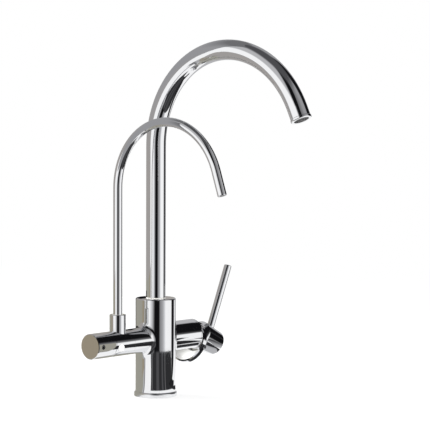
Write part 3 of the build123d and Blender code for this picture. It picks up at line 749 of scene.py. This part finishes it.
@dataclass
class FilterValve(SubAssembly):
    """Left arm with its quarter-turn valve, collar and knob."""

    body: str = "tap_body"
    coats: dict[str, Finish] = field(
        default_factory=lambda: {
            "valve_housing": TURNED_CHROME,
            "filter_headpart": BRASS,
            "filter_fixed_disc": CERAMIC,
            "filter_seat_seal": RUBBER,
            "filter_collar": TURNED_CHROME,
            "filter_gland": NYLON,
            "index_plug": INDEX_WHITE,
            "filter_knob": TURNED_CHROME,
            "knob_grub_screw": STEEL,
            "filter_stem": BRASS,
            "filter_moving_disc": CERAMIC,
        }
    )


@dataclass
class Mixer(SubAssembly):
    """Right arm's mixing cartridge."""

    body: str = "tap_body"
    coats: dict[str, Finish] = field(
        default_factory=lambda: {
            "cartridge_base": NYLON,
            "cartridge_seals": RUBBER,
            "cartridge_fixed_disc": CERAMIC,
            "cartridge_housing": NYLON,
            "cartridge_nut": BRASS,
            "arm_bezel": TURNED_CHROME,
            "cartridge_carrier": NYLON,
            "lever_pivot_pin": STEEL,
            "cartridge_driver": NYLON,
            "cartridge_moving_disc": CERAMIC,
        }
    )


@dataclass(frozen=True)
class ReflectionLinerRing:
    """Ring of the skirt's white liner, a painted reflection that stands in for the white which the
    skirt's inside mirrors.

    Attributes:
        along: Its place along the handle's axis, from the pivot.
        rise: How far its middle lies over the axis.
        radius: Its radius.
    """

    along: float
    rise: float
    radius: float


@dataclass
class Handle(SubAssembly):
    """Skirt, cap and pin that the hand lifts and turns.

    Attributes:
        pivot: Where the handle's axis crosses its lifting pin.
        tilt: Degrees that the axis leans down from level.
        reflection_liner_rings: Rings of the skirt's white liner, a painted reflection, from the arm
            outwards.
        reflection_liner_top: Height over the axis up to which the liner's wall goes.
        reflection_liner_wall: Thickness of the liner.
        reflection_liner_sides: Sides of a ring.
    """

    body: str = "handle"
    pivot: Corner = (0.059, 0.0, 0.0645)
    tilt: float = 23.5
    reflection_liner_rings: tuple[ReflectionLinerRing, ...] = (
        ReflectionLinerRing(along=-0.0026, rise=-0.01, radius=0.0221),
        ReflectionLinerRing(along=0.002, rise=-0.01, radius=0.0221),
        ReflectionLinerRing(along=0.0096, rise=-0.00136, radius=0.0167),
    )
    reflection_liner_top: float = 0.0036
    reflection_liner_wall: float = 0.0003
    reflection_liner_sides: int = 96
    coats: dict[str, Finish] = field(
        default_factory=lambda: {
            "cartridge_lever": STEEL,
            "handle_skirt": TURNED_CHROME,
            "handle_cap": TURNED_CHROME,
            "handle_pin": TURNED_CHROME,
            "handle_grub_screw": STEEL,
        }
    )

    def dress(self, nodes: dict[str, bpy.types.Object]) -> None:
        """Gives every node its finish, and keeps the skirt out of the arm's mirror image.

        Args:
            nodes: The frame's node objects by name.
        """
        super().dress(nodes)
        nodes["handle_skirt"].visible_glossy = False

    def build(self) -> list[bpy.types.Object]:
        """Makes the white liner inside the skirt, a painted reflection of the white that the skirt's
        inside mirrors, which leaves the arm's notch free.

        Returns:
            The liner.
        """
        shape = bmesh.new()
        rings = [self._ring(shape, ring) for ring in self.reflection_liner_rings]
        for lower, upper in zip(rings, rings[1:]):
            bmesh.ops.bridge_loops(shape, edges=lower + upper)
        bmesh.ops.bisect_plane(
            shape,
            geom=shape.verts[:] + shape.edges[:] + shape.faces[:],
            plane_co=(0.0, self.reflection_liner_top, 0.0),
            plane_no=(0.0, 1.0, 0.0),
            clear_outer=True,
        )
        bmesh.ops.recalc_face_normals(shape, faces=shape.faces)
        bmesh.ops.solidify(shape, geom=shape.faces[:], thickness=self.reflection_liner_wall)
        across = Vector((0.0, 1.0, 0.0))
        down = Matrix.Rotation(math.radians(self.tilt), 4, "Y")
        out = down @ Vector((1.0, 0.0, 0.0))
        lie = Matrix((across, out.cross(across), out)).transposed().to_4x4()
        bmesh.ops.transform(shape, matrix=Matrix.Translation(self.pivot) @ lie, verts=shape.verts)
        # Painted reflection: this white piece stands in for the white that the skirt's inside mirrors,
        # and reflections don't see it.
        liner = add_piece("skirt_reflection_liner", shape, INDEX_WHITE)
        liner.visible_glossy = False
        return [liner]

    def _ring(self, shape: bmesh.types.BMesh, ring: ReflectionLinerRing) -> list[bmesh.types.BMEdge]:
        """Adds one ring of the liner.

        Args:
            shape: The shape to add to.
            ring: The ring.

        Returns:
            The ring's edges.
        """
        made = bmesh.ops.create_circle(
            shape,
            cap_ends=False,
            segments=self.reflection_liner_sides,
            radius=ring.radius,
            matrix=Matrix.Translation((0.0, ring.rise, ring.along)),
        )
        return list(dict.fromkeys(edge for vert in made["verts"] for edge in vert.link_edges))


@dataclass(frozen=True)
class PhotoCamera:
    """Camera at the photograph's viewing angle.

    Attributes:
        turn: Heading in degrees from +Y towards +X.
        distance: Level distance to the barrel's axis.
        height: Height of the lens over the deck.
        aside: How far the lens stands to the right of the line to the axis.
        pitch: Degrees that the camera looks down.
        roll: Degrees that it leans to its left.
        focal: Focal length in pixels of the frame.
        frame: Width of the square frame in pixels.
        sensor: Sensor width in millimetres.
        clip: Nearest and farthest distance that it sees.
    """

    turn: float = 48.24
    distance: float = 2.5522
    height: float = 0.3902
    aside: float = 0.06583
    pitch: float = 4.196
    roll: float = 0.224
    focal: float = 2295.3
    frame: float = 430.0
    sensor: float = 36.0
    clip: tuple[float, float] = (0.05, 50.0)

    @property
    def heading(self) -> Vector:
        """Level direction that the camera looks in."""
        return Vector((math.sin(math.radians(self.turn)), math.cos(math.radians(self.turn)), 0.0))

    @property
    def right(self) -> Vector:
        """Level direction to the right of the picture."""
        return Vector((self.heading.y, -self.heading.x, 0.0))

    def azimuth(self, graph: Graph, vector: bpy.types.NodeSocket) -> bpy.types.NodeSocket:
        """Adds a vector's azimuth from the photograph's side, positive to its right.

        Args:
            graph: The tree to add to.
            vector: The vector socket.

        Returns:
            The azimuth's socket, in radians.
        """
        across = graph.dot(vector, self.right)
        towards = graph.dot(vector, -self.heading)
        return graph.math("ARCTAN2", across, towards)

    def build(self) -> None:
        """Makes the camera and sets it as the scene's."""
        data = bpy.data.cameras.new("photo_camera")
        data.sensor_width = self.sensor
        data.lens = self.focal / self.frame * self.sensor
        data.clip_start, data.clip_end = self.clip
        camera = bpy.data.objects.new("photo_camera", data)
        bpy.context.scene.collection.objects.link(camera)
        level = math.cos(math.radians(self.pitch))
        forward = self.heading * level - Vector((0.0, 0.0, math.sin(math.radians(self.pitch))))
        camera.location = self.right * self.aside - self.heading * self.distance
        camera.location.z = self.height
        lean = Quaternion((0.0, 0.0, 1.0), math.radians(self.roll))
        camera.rotation_euler = (forward.to_track_quat("-Z", "Y") @ lean).to_euler()
        bpy.context.scene.camera = camera


WHITE: Colour = (1.0, 1.0, 1.0)
PALE: Colour = (0.72, 0.73, 0.75)
LIGHT: Colour = (0.50, 0.50, 0.51)
GREY: Colour = (0.33, 0.33, 0.34)
STONE: Colour = (0.36, 0.35, 0.30)
TAUPE: Colour = (0.38, 0.36, 0.345)
BEIGE: Colour = (0.335, 0.29, 0.215)
SLATE: Colour = (0.17, 0.17, 0.175)
DIM: Colour = (0.08, 0.08, 0.085)
SOOT: Colour = (0.03, 0.03, 0.032)
BLACK: Colour = (0.006, 0.006, 0.007)

# The sheets lie just under the deck: the shades over the ledge, the ledge over the floor.
LEDGE_Z = -0.0001
SHADE_Z = LEDGE_Z / 2
FLOOR_Z = LEDGE_Z * 3


def stage_sheet(name: str, shape: bmesh.types.BMesh, material: bpy.types.Material) -> bpy.types.Object:
    """Makes an object of a flat shape.

    Args:
        name: The object's name.
        shape: The shape, which is freed.
        material: Its material.

    Returns:
        The object.
    """
    sheet = mesh_object(name, shape, material)
    return sheet


def mirror_only(sheet: bpy.types.Object) -> None:
    """Hides a sheet from everything but reflections.

    Args:
        sheet: The staged object.
    """
    sheet.visible_camera = False
    sheet.visible_diffuse = False
    sheet.visible_shadow = False
    sheet.visible_transmission = False


def glow_along(graph: Graph, place: bpy.types.NodeSocket, tones: Stops) -> bpy.types.NodeSocket:
    """Adds an even glow whose colour runs along a value.

    Args:
        graph: The material's tree.
        place: The value socket.
        tones: Values and their colours, in rising order.

    Returns:
        The glow's shader socket.
    """
    first, last = tones[0][0], tones[-1][0]
    share = graph.spread(place, first, last)
    tone = graph.ramp(share, tuple(((at - first) / (last - first), colour) for at, colour in tones))
    glow = graph.add("Emission")
    graph.link(tone, glow.inputs["Color"])
    return glow.outputs["Emission"]


@dataclass(frozen=True)
class Belt:
    """Ring of the far surroundings.

    Attributes:
        rise: Elevation in degrees at which it begins.
        blend: Degrees over which it takes over from the belt below.
        stops: Azimuths in degrees from the camera, positive to its right, and their colours.
    """

    rise: float
    blend: float
    stops: Stops

    def colour(self, graph: Graph, place: bpy.types.NodeSocket) -> bpy.types.NodeSocket:
        """Adds the belt's colours.

        Args:
            graph: The world's tree.
            place: The azimuth, from 0 to 1 round the circle.

        Returns:
            The colour socket.
        """
        return graph.ramp(place, tuple((azimuth / 360.0 + 0.5, tone) for azimuth, tone in self.stops))

    def share(self, graph: Graph, height: bpy.types.NodeSocket) -> bpy.types.NodeSocket:
        """Adds how far a ray is inside the belt.

        Args:
            graph: The world's tree.
            height: The ray's Z.

        Returns:
            The value socket.
        """
        low, high = (math.sin(math.radians(self.rise + side * self.blend / 2)) for side in (-1, 1))
        return graph.spread(height, low, high, smooth=True)


class Along(Enum):
    """Axis that a card's tones run along, by its output's name."""

    X = "X"
    Y = "Y"
    Z = "Z"


@dataclass(frozen=True)
class Card:
    """Flat card near the tap that only reflections see.

    Attributes:
        name: Its name.
        low: Its lowest corner.
        high: Its highest corner.
        along: Axis that its tones run along.
        tones: Places in metres on that axis, and their colours.
        near: Distance beyond which reflections pass through it.
    """

    name: str
    low: Corner
    high: Corner
    along: Along
    tones: Stops
    near: float = 100.0

    def build(self) -> None:
        """Makes the card."""
        mirror_only(stage_sheet(self.name, self._shape(), self._material()))

    def _shape(self) -> bmesh.types.BMesh:
        """Makes the card's one face, flat or upright.

        Returns:
            The shape.
        """
        size = Vector(self.high) - Vector(self.low)
        shape = bmesh.new()
        bmesh.ops.create_grid(shape, x_segments=1, y_segments=1, size=0.5)
        if size.z:
            upright = Matrix.Rotation(math.pi / 2, 3, "X" if size.x else "Y")
            bmesh.ops.rotate(shape, cent=(0.0, 0.0, 0.0), matrix=upright, verts=shape.verts)
        bmesh.ops.scale(shape, vec=size, verts=shape.verts)
        bmesh.ops.translate(shape, vec=Vector(self.low) + size / 2, verts=shape.verts)
        return shape

    def _material(self) -> bpy.types.Material:
        """Makes its glow, which only rays from near by see.

        Returns:
            The material.
        """
        material, graph = new_material(self.name)
        split = graph.add("SeparateXYZ")
        graph.link(graph.add("TexCoord").outputs["Object"], split.inputs["Vector"])
        glow = glow_along(graph, split.outputs[self.along.value], self.tones)
        length = graph.add("LightPath").outputs["Ray Length"]
        passed = graph.math("GREATER_THAN", length, self.near)
        clear = graph.add("BsdfTransparent").outputs["BSDF"]
        output = graph.add("OutputMaterial")
        graph.link(graph.mix_shader(passed, glow, clear), output.inputs["Surface"])
        return material


@dataclass(frozen=True)
class Sector:
    """Flat sector of a ring round the tap's axis that only reflections see.

    Attributes:
        name: Its name.
        radii: Inner and outer radius.
        tones: Azimuths in degrees from the camera, and their colours.
        height: Its Z.
        steps: Steps of the ring.
    """

    name: str
    radii: tuple[float, float]
    tones: Stops
    height: float = SHADE_Z
    steps: int = 48

    def build(self, camera: PhotoCamera) -> None:
        """Makes the sector, with its azimuths measured from a camera."""
        mirror_only(stage_sheet(self.name, self._shape(camera), self._material(camera)))

    def _shape(self, camera: PhotoCamera) -> bmesh.types.BMesh:
        """Spins the sector from its first azimuth to its last.

        Args:
            camera: The camera that azimuths are measured from.

        Returns:
            The shape.
        """
        first, last = (math.radians(self.tones[end][0]) for end in (0, -1))
        start = camera.right * math.sin(first) - camera.heading * math.cos(first)
        lift = Vector((0.0, 0.0, self.height))
        shape = bmesh.new()
        verts = [shape.verts.new(start * radius + lift) for radius in self.radii]
        edge = shape.edges.new(verts)
        bmesh.ops.spin(
            shape,
            geom=verts + [edge],
            cent=(0.0, 0.0, 0.0),
            axis=(0.0, 0.0, 1.0),
            angle=last - first,
            steps=self.steps,
        )
        return shape

    def _material(self, camera: PhotoCamera) -> bpy.types.Material:
        """Makes its glow, whose tones run round the tap's axis.

        Args:
            camera: The camera that azimuths are measured from.

        Returns:
            The material.
        """
        material, graph = new_material(self.name)
        turned = camera.azimuth(graph, graph.add("TexCoord").outputs["Object"])
        glow = glow_along(graph, graph.math("DEGREES", turned), self.tones)
        graph.link(glow, graph.add("OutputMaterial").inputs["Surface"])
        return material


@dataclass(frozen=True)
class Softbox:
    """Square soft lamp that looks at the tap and isn't mirrored by it.

    Attributes:
        name: Its name.
        place: Where it hangs.
        size: Its side.
        power: Its power in watts.
        aim: The point that it looks at.
    """

    name: str
    place: Corner
    size: float
    power: float
    aim: Corner = (0.0, 0.0, 0.15)

    def build(self) -> None:
        """Makes the lamp."""
        data = bpy.data.lights.new(self.name, "AREA")
        data.size = self.size
        data.energy = self.power
        lamp = bpy.data.objects.new(self.name, data)
        lamp.location = self.place
        sight = Vector(self.aim) - Vector(self.place)
        lamp.rotation_euler = sight.to_track_quat("-Z", "Y").to_euler()
        lamp.visible_glossy = False
        bpy.context.scene.collection.objects.link(lamp)


FAR_BELTS = (
    Belt(rise=-90.0, blend=1.0, stops=(
        (-180, LIGHT), (-96, LIGHT), (-90, WHITE), (-33, WHITE), (-24, PALE), (-17, LIGHT),
        (-9, SLATE), (-4, BLACK), (20, BLACK), (25, SLATE), (30, GREY), (36, GREY), (46, LIGHT),
        (54, PALE), (60, WHITE), (101, WHITE), (105, BLACK), (119, BLACK), (126, SLATE),
        (134, SLATE), (142, BLACK), (160, BLACK), (164, LIGHT), (180, LIGHT),
    )),
    Belt(rise=7.0, blend=6.0, stops=(
        (-180, GREY), (-92, GREY), (-88, WHITE), (-28, WHITE), (-18, GREY), (-8, GREY), (-6, BLACK),
        (20, BLACK), (25, GREY), (46, PALE), (52, WHITE), (86, WHITE), (95, SLATE), (98, BLACK),
        (148, BLACK), (154, GREY), (180, GREY),
    )),
    Belt(rise=24.0, blend=10.0, stops=(
        (-180, GREY), (-95, GREY), (-88, LIGHT), (-36, LIGHT), (-25, BLACK), (10, BLACK), (16, SLATE),
        (60, GREY), (93, GREY), (99, BLACK), (146, BLACK), (153, GREY), (180, GREY),
    )),
    Belt(rise=59.0, blend=18.0, stops=((-180, DIM), (180, DIM))),
)

HANDLE_SHADES = (
    Card(
        name="handle_shade",
        low=(0.06, -0.11, SHADE_Z),
        high=(0.13, -0.036, SHADE_Z),
        along=Along.Y,
        tones=((-0.11, BLACK), (-0.036, SOOT)),
    ),
    Card(
        name="skirt_shade",
        low=(0.06, -0.036, SHADE_Z),
        high=(0.13, 0.008, SHADE_Z),
        along=Along.Y,
        tones=((-0.036, SOOT), (-0.012, SOOT), (0.008, DIM)),
        near=0.085,
    ),
    Card(
        name="cap_shade",
        low=(0.0965, -0.062, 0.035),
        high=(0.135, -0.02, 0.035),
        along=Along.Y,
        tones=((-0.062, SOOT), (-0.044, DIM), (-0.038, SLATE), (-0.03, GREY), (-0.02, LIGHT)),
        near=0.069,
    ),
    Card(
        name="cap_glow",
        low=(0.084, -0.018, 0.03),
        high=(0.1, 0.004, 0.03),
        along=Along.Y,
        tones=((-0.018, GREY), (-0.012, LIGHT), (0.004, LIGHT)),
        near=0.06,
    ),
    Card(
        name="arm_shade",
        low=(-0.01, 0.035, 0.055),
        high=(0.055, 0.035, 0.115),
        along=Along.X,
        tones=((-0.01, BLACK), (0.055, BLACK)),
    ),
)

SPOUT_SHADES = (
    Card(
        name="spout_shade",
        low=(-0.085, -0.082, 0.25),
        high=(-0.085, 0.0, 0.335),
        along=Along.Y,
        tones=((-0.082, SLATE), (-0.06, GREY), (0.0, GREY)),
        near=0.055,
    ),
    Card(
        name="knob_shade",
        low=(-0.09, -0.03, 0.036),
        high=(-0.061, -0.03, 0.072),
        along=Along.Z,
        tones=((0.036, SLATE), (0.042, STONE), (0.072, STONE)),
        near=0.04,
    ),
)

LEDGE_SECTORS = (
    # Painted shade: a flat dark sheet with dim streaks, which the chrome mirrors as a shaded hollow
    # before the tap.
    Sector(
        name="front_hollow_shade",
        radii=(0.078, 0.41),
        tones=(
            (-23, SOOT), (-19, SOOT), (-16, SLATE), (-13, SOOT), (4, SOOT), (8, DIM), (17, DIM),
            (22, SOOT), (33, SOOT), (36, DIM), (41, DIM), (44, SOOT), (51, SOOT), (54, SLATE),
            (57, SOOT), (97.3, SOOT),
        ),
    ),
    # Painted shade: a thin dark wedge that darkens the skirt's mirrored crescent.
    Sector(name="handle_hollow_shade", radii=(0.1, 0.34), tones=((97.3, SOOT), (98.7, SOOT))),
    # A beige-grey sector of the ledge to the tap's left and back, with a darker line at its edge, seen
    # only in reflections.
    Sector(
        name="beige_grey_ledge",
        radii=(0.024, 0.45),
        tones=(
            (-178, STONE), (-70, STONE), (-66, LIGHT), (-63, LIGHT), (-61, SLATE), (-58.5, SLATE),
            (-57, WHITE), (-55, WHITE),
        ),
    ),
)

SOFTBOXES = (
    Softbox(name="key_softbox", place=(-0.9, -1.2, 1.8), size=1.2, power=14.0),
    Softbox(name="fill_softbox", place=(1.3, -0.9, 1.4), size=1.0, power=7.0),
    Softbox(name="front_softbox", place=(-1.6, -1.4, 0.5), size=0.6, power=22.0),
    Softbox(name="back_softbox", place=(-0.7, 1.3, 0.7), size=0.6, power=26.0),
)


@dataclass
class Studio:
    """Pale floor, soft light and the surroundings that polished metal reflects.

    Far surroundings are belts of colour in the world. Near ones are a white ledge under the tap,
    painted shade before it, a wall behind it, and small painted shades and a glow, as sheets that only
    reflections see.

    Attributes:
        camera: The camera that azimuths are measured from.
        belts: The far surroundings, from the lowest belt up.
        handle_shades: Cards close to the handle and the right arm.
        spout_shades: Cards close to the slim spout and its knob.
        sectors: Parts of the ledge: painted shade before the tap and a beige-grey part to its left and
            back.
        lamps: The soft lamps.
        reach: How far the ledge reaches along X.
        ledge_front: Y of the ledge's front edge.
        wall_y: Y of the wall.
        lower_wall: X of the ends of the wall's lower part.
        upper_wall: X of the ends of its upper part.
        wall_heights: Heights at which the lower and the upper part end.
        light_wall: X of the ends of the lighter panel that the right arm's top mirrors.
        light_wall_top: Height of that panel's upper edge.
        light_wall_gap: How far that panel stands before the wall.
        floor_size: Half the floor's width.
        floor_paint: The floor's colour.
        floor_fade: Distances at which the floor's paint starts to fade and is even white.
        floor_glow: Share of even white in the paint near the tap.
        fill: Strength of the even light from all round.
    """

    camera: PhotoCamera
    belts: tuple[Belt, ...] = FAR_BELTS
    handle_shades: tuple[Card, ...] = HANDLE_SHADES
    spout_shades: tuple[Card, ...] = SPOUT_SHADES
    sectors: tuple[Sector, ...] = LEDGE_SECTORS
    lamps: tuple[Softbox, ...] = SOFTBOXES
    reach: float = 1.2
    ledge_front: float = -0.085
    wall_y: float = 0.1
    lower_wall: tuple[float, float] = (-0.333, 1.2)
    upper_wall: tuple[float, float] = (-0.225, 0.3)
    wall_heights: tuple[float, float] = (0.12, 0.9)
    light_wall: tuple[float, float] = (0.15, 0.46)
    light_wall_top: float = 0.45
    light_wall_gap: float = 0.002
    floor_size: float = 6.0
    floor_paint: Colour = (0.92, 0.92, 0.92)
    floor_fade: tuple[float, float] = (0.4, 1.6)
    floor_glow: float = 0.6
    fill: float = 0.8

    def build(self) -> None:
        """Makes the world, the floor, the reflected sheets and the lamps."""
        self._world()
        self._floor()
        for card in (self._ledge(), *self.handle_shades, *self._walls(), *self.spout_shades):
            card.build()
        for sector in self.sectors:
            sector.build(self.camera)
        for lamp in self.lamps:
            lamp.build()

    def _ledge(self) -> Card:
        """Plans the white ledge that the tap stands on.

        Returns:
            The ledge's card.
        """
        return Card(
            name="ledge_top",
            low=(-self.reach, self.ledge_front, LEDGE_Z),
            high=(self.reach, self.wall_y, LEDGE_Z),
            along=Along.Y,
            tones=((self.ledge_front, WHITE), (self.wall_y, WHITE)),
        )

    def _walls(self) -> tuple[Card, ...]:
        """Plans the wall behind the tap.

        Returns:
            Cards of its lower part, its upper part and its lighter panel.
        """
        left, right = self.lower_wall
        middle, top = self.wall_heights
        lower = Card(
            name="lower_wall",
            low=(left, self.wall_y, 0.0),
            high=(right, self.wall_y, middle),
            along=Along.X,
            tones=(
                (left, SLATE), (-0.286, SLATE), (-0.275, LIGHT), (-0.24, LIGHT), (-0.236, BEIGE),
                (-0.17, BEIGE), (-0.12, STONE), (0.06, STONE), (0.16, LIGHT), (right, LIGHT),
            ),
        )
        upper = Card(
            name="upper_wall",
            low=(self.upper_wall[0], self.wall_y, middle),
            high=(self.upper_wall[1], self.wall_y, top),
            along=Along.Z,
            tones=(
                (middle, TAUPE), (0.26, TAUPE), (0.4, GREY), (0.5, GREY), (0.65, SLATE), (top, SLATE),
            ),
        )
        panel_y = self.wall_y - self.light_wall_gap
        panel = Card(
            name="arm_wall",
            low=(self.light_wall[0], panel_y, middle),
            high=(self.light_wall[1], panel_y, self.light_wall_top),
            along=Along.X,
            tones=tuple((end, LIGHT) for end in self.light_wall),
        )
        return lower, upper, panel

    def _world(self) -> None:
        """Sets white for the camera, the belts for reflections and an even fill for the rest."""
        world = bpy.data.worlds.new("studio")
        bpy.context.scene.world = world
        world.use_nodes = True
        graph = Graph(world.node_tree)
        mirrored = self._background(graph, self._far_colour(graph))
        plain = self._background(graph, (*WHITE, 1.0), self.fill)
        backdrop = self._background(graph, (*WHITE, 1.0))
        path = graph.add("LightPath")
        shown = graph.mix_shader(path.outputs["Is Glossy Ray"], plain, mirrored)
        direct = graph.math("MAXIMUM", path.outputs["Is Camera Ray"], path.outputs["Is Transmission Ray"])
        output = graph.add("OutputWorld")
        graph.link(graph.mix_shader(direct, shown, backdrop), output.inputs["Surface"])

    def _far_colour(self, graph: Graph) -> bpy.types.NodeSocket:
        """Adds the belts' colours by a ray's direction.

        Args:
            graph: The world's tree.

        Returns:
            The colour socket.
        """
        ray = graph.add("TexCoord").outputs["Generated"]
        place = graph.math("MULTIPLY_ADD", self.camera.azimuth(graph, ray), 1.0 / math.tau, 0.5)
        split = graph.add("SeparateXYZ")
        graph.link(ray, split.inputs["Vector"])
        seen = self.belts[0].colour(graph, place)
        for belt in self.belts[1:]:
            share = belt.share(graph, split.outputs["Z"])
            seen = graph.mix_colour(share, seen, belt.colour(graph, place))
        return seen

    @staticmethod
    def _background(graph: Graph, colour: object, strength: float = 1.0) -> bpy.types.NodeSocket:
        """Adds an even light from all round.

        Args:
            graph: The world's tree.
            colour: A colour socket or value.
            strength: The light's strength.

        Returns:
            The shader socket.
        """
        node = graph.add("Background")
        graph.feed(colour, node.inputs["Color"])
        node.inputs["Strength"].default_value = strength
        return node.outputs["Background"]

    def _floor(self) -> None:
        """Lays the pale floor, which shows the tap's shadow and is not mirrored by the chrome."""
        shape = bmesh.new()
        bmesh.ops.create_grid(shape, x_segments=1, y_segments=1, size=self.floor_size)
        bmesh.ops.translate(shape, vec=(0.0, 0.0, FLOOR_Z), verts=shape.verts)
        material, graph = new_material("pale_floor")
        paint = graph.add("BsdfDiffuse")
        paint.inputs["Color"].default_value = (*self.floor_paint, 1.0)
        even = graph.add("Emission")
        far = graph.add("VectorMath", operation="LENGTH")
        graph.link(graph.add("TexCoord").outputs["Object"], far.inputs[0])
        fade = graph.spread(far.outputs["Value"], *self.floor_fade, smooth=True)
        glow = graph.math("MULTIPLY_ADD", fade, 1.0 - self.floor_glow, self.floor_glow)
        output = graph.add("OutputMaterial")
        graph.link(graph.mix_shader(glow, paint.outputs[0], even.outputs[0]), output.inputs["Surface"])
        stage_sheet("floor", shape, material).visible_glossy = False


def main() -> None:
    """Loads the frame, dresses every sub-assembly and sets the stage."""
    logging.basicConfig(level=logging.INFO, format="%(name)s %(message)s")
    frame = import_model()
    bpy.context.scene.view_settings.view_transform = "Standard"
    for part in (Barrel(), MainSpout(), FilterSpout(), FilterValve(), Mixer(), Handle()):
        part.dress(frame["nodes"])
        for piece in part.build():
            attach(piece, part.body)
            LOG.info("%s rides on %s", piece.name, part.body)
    camera = PhotoCamera()
    camera.build()
    Studio(camera).build()


if __name__ == "__main__":
    main()
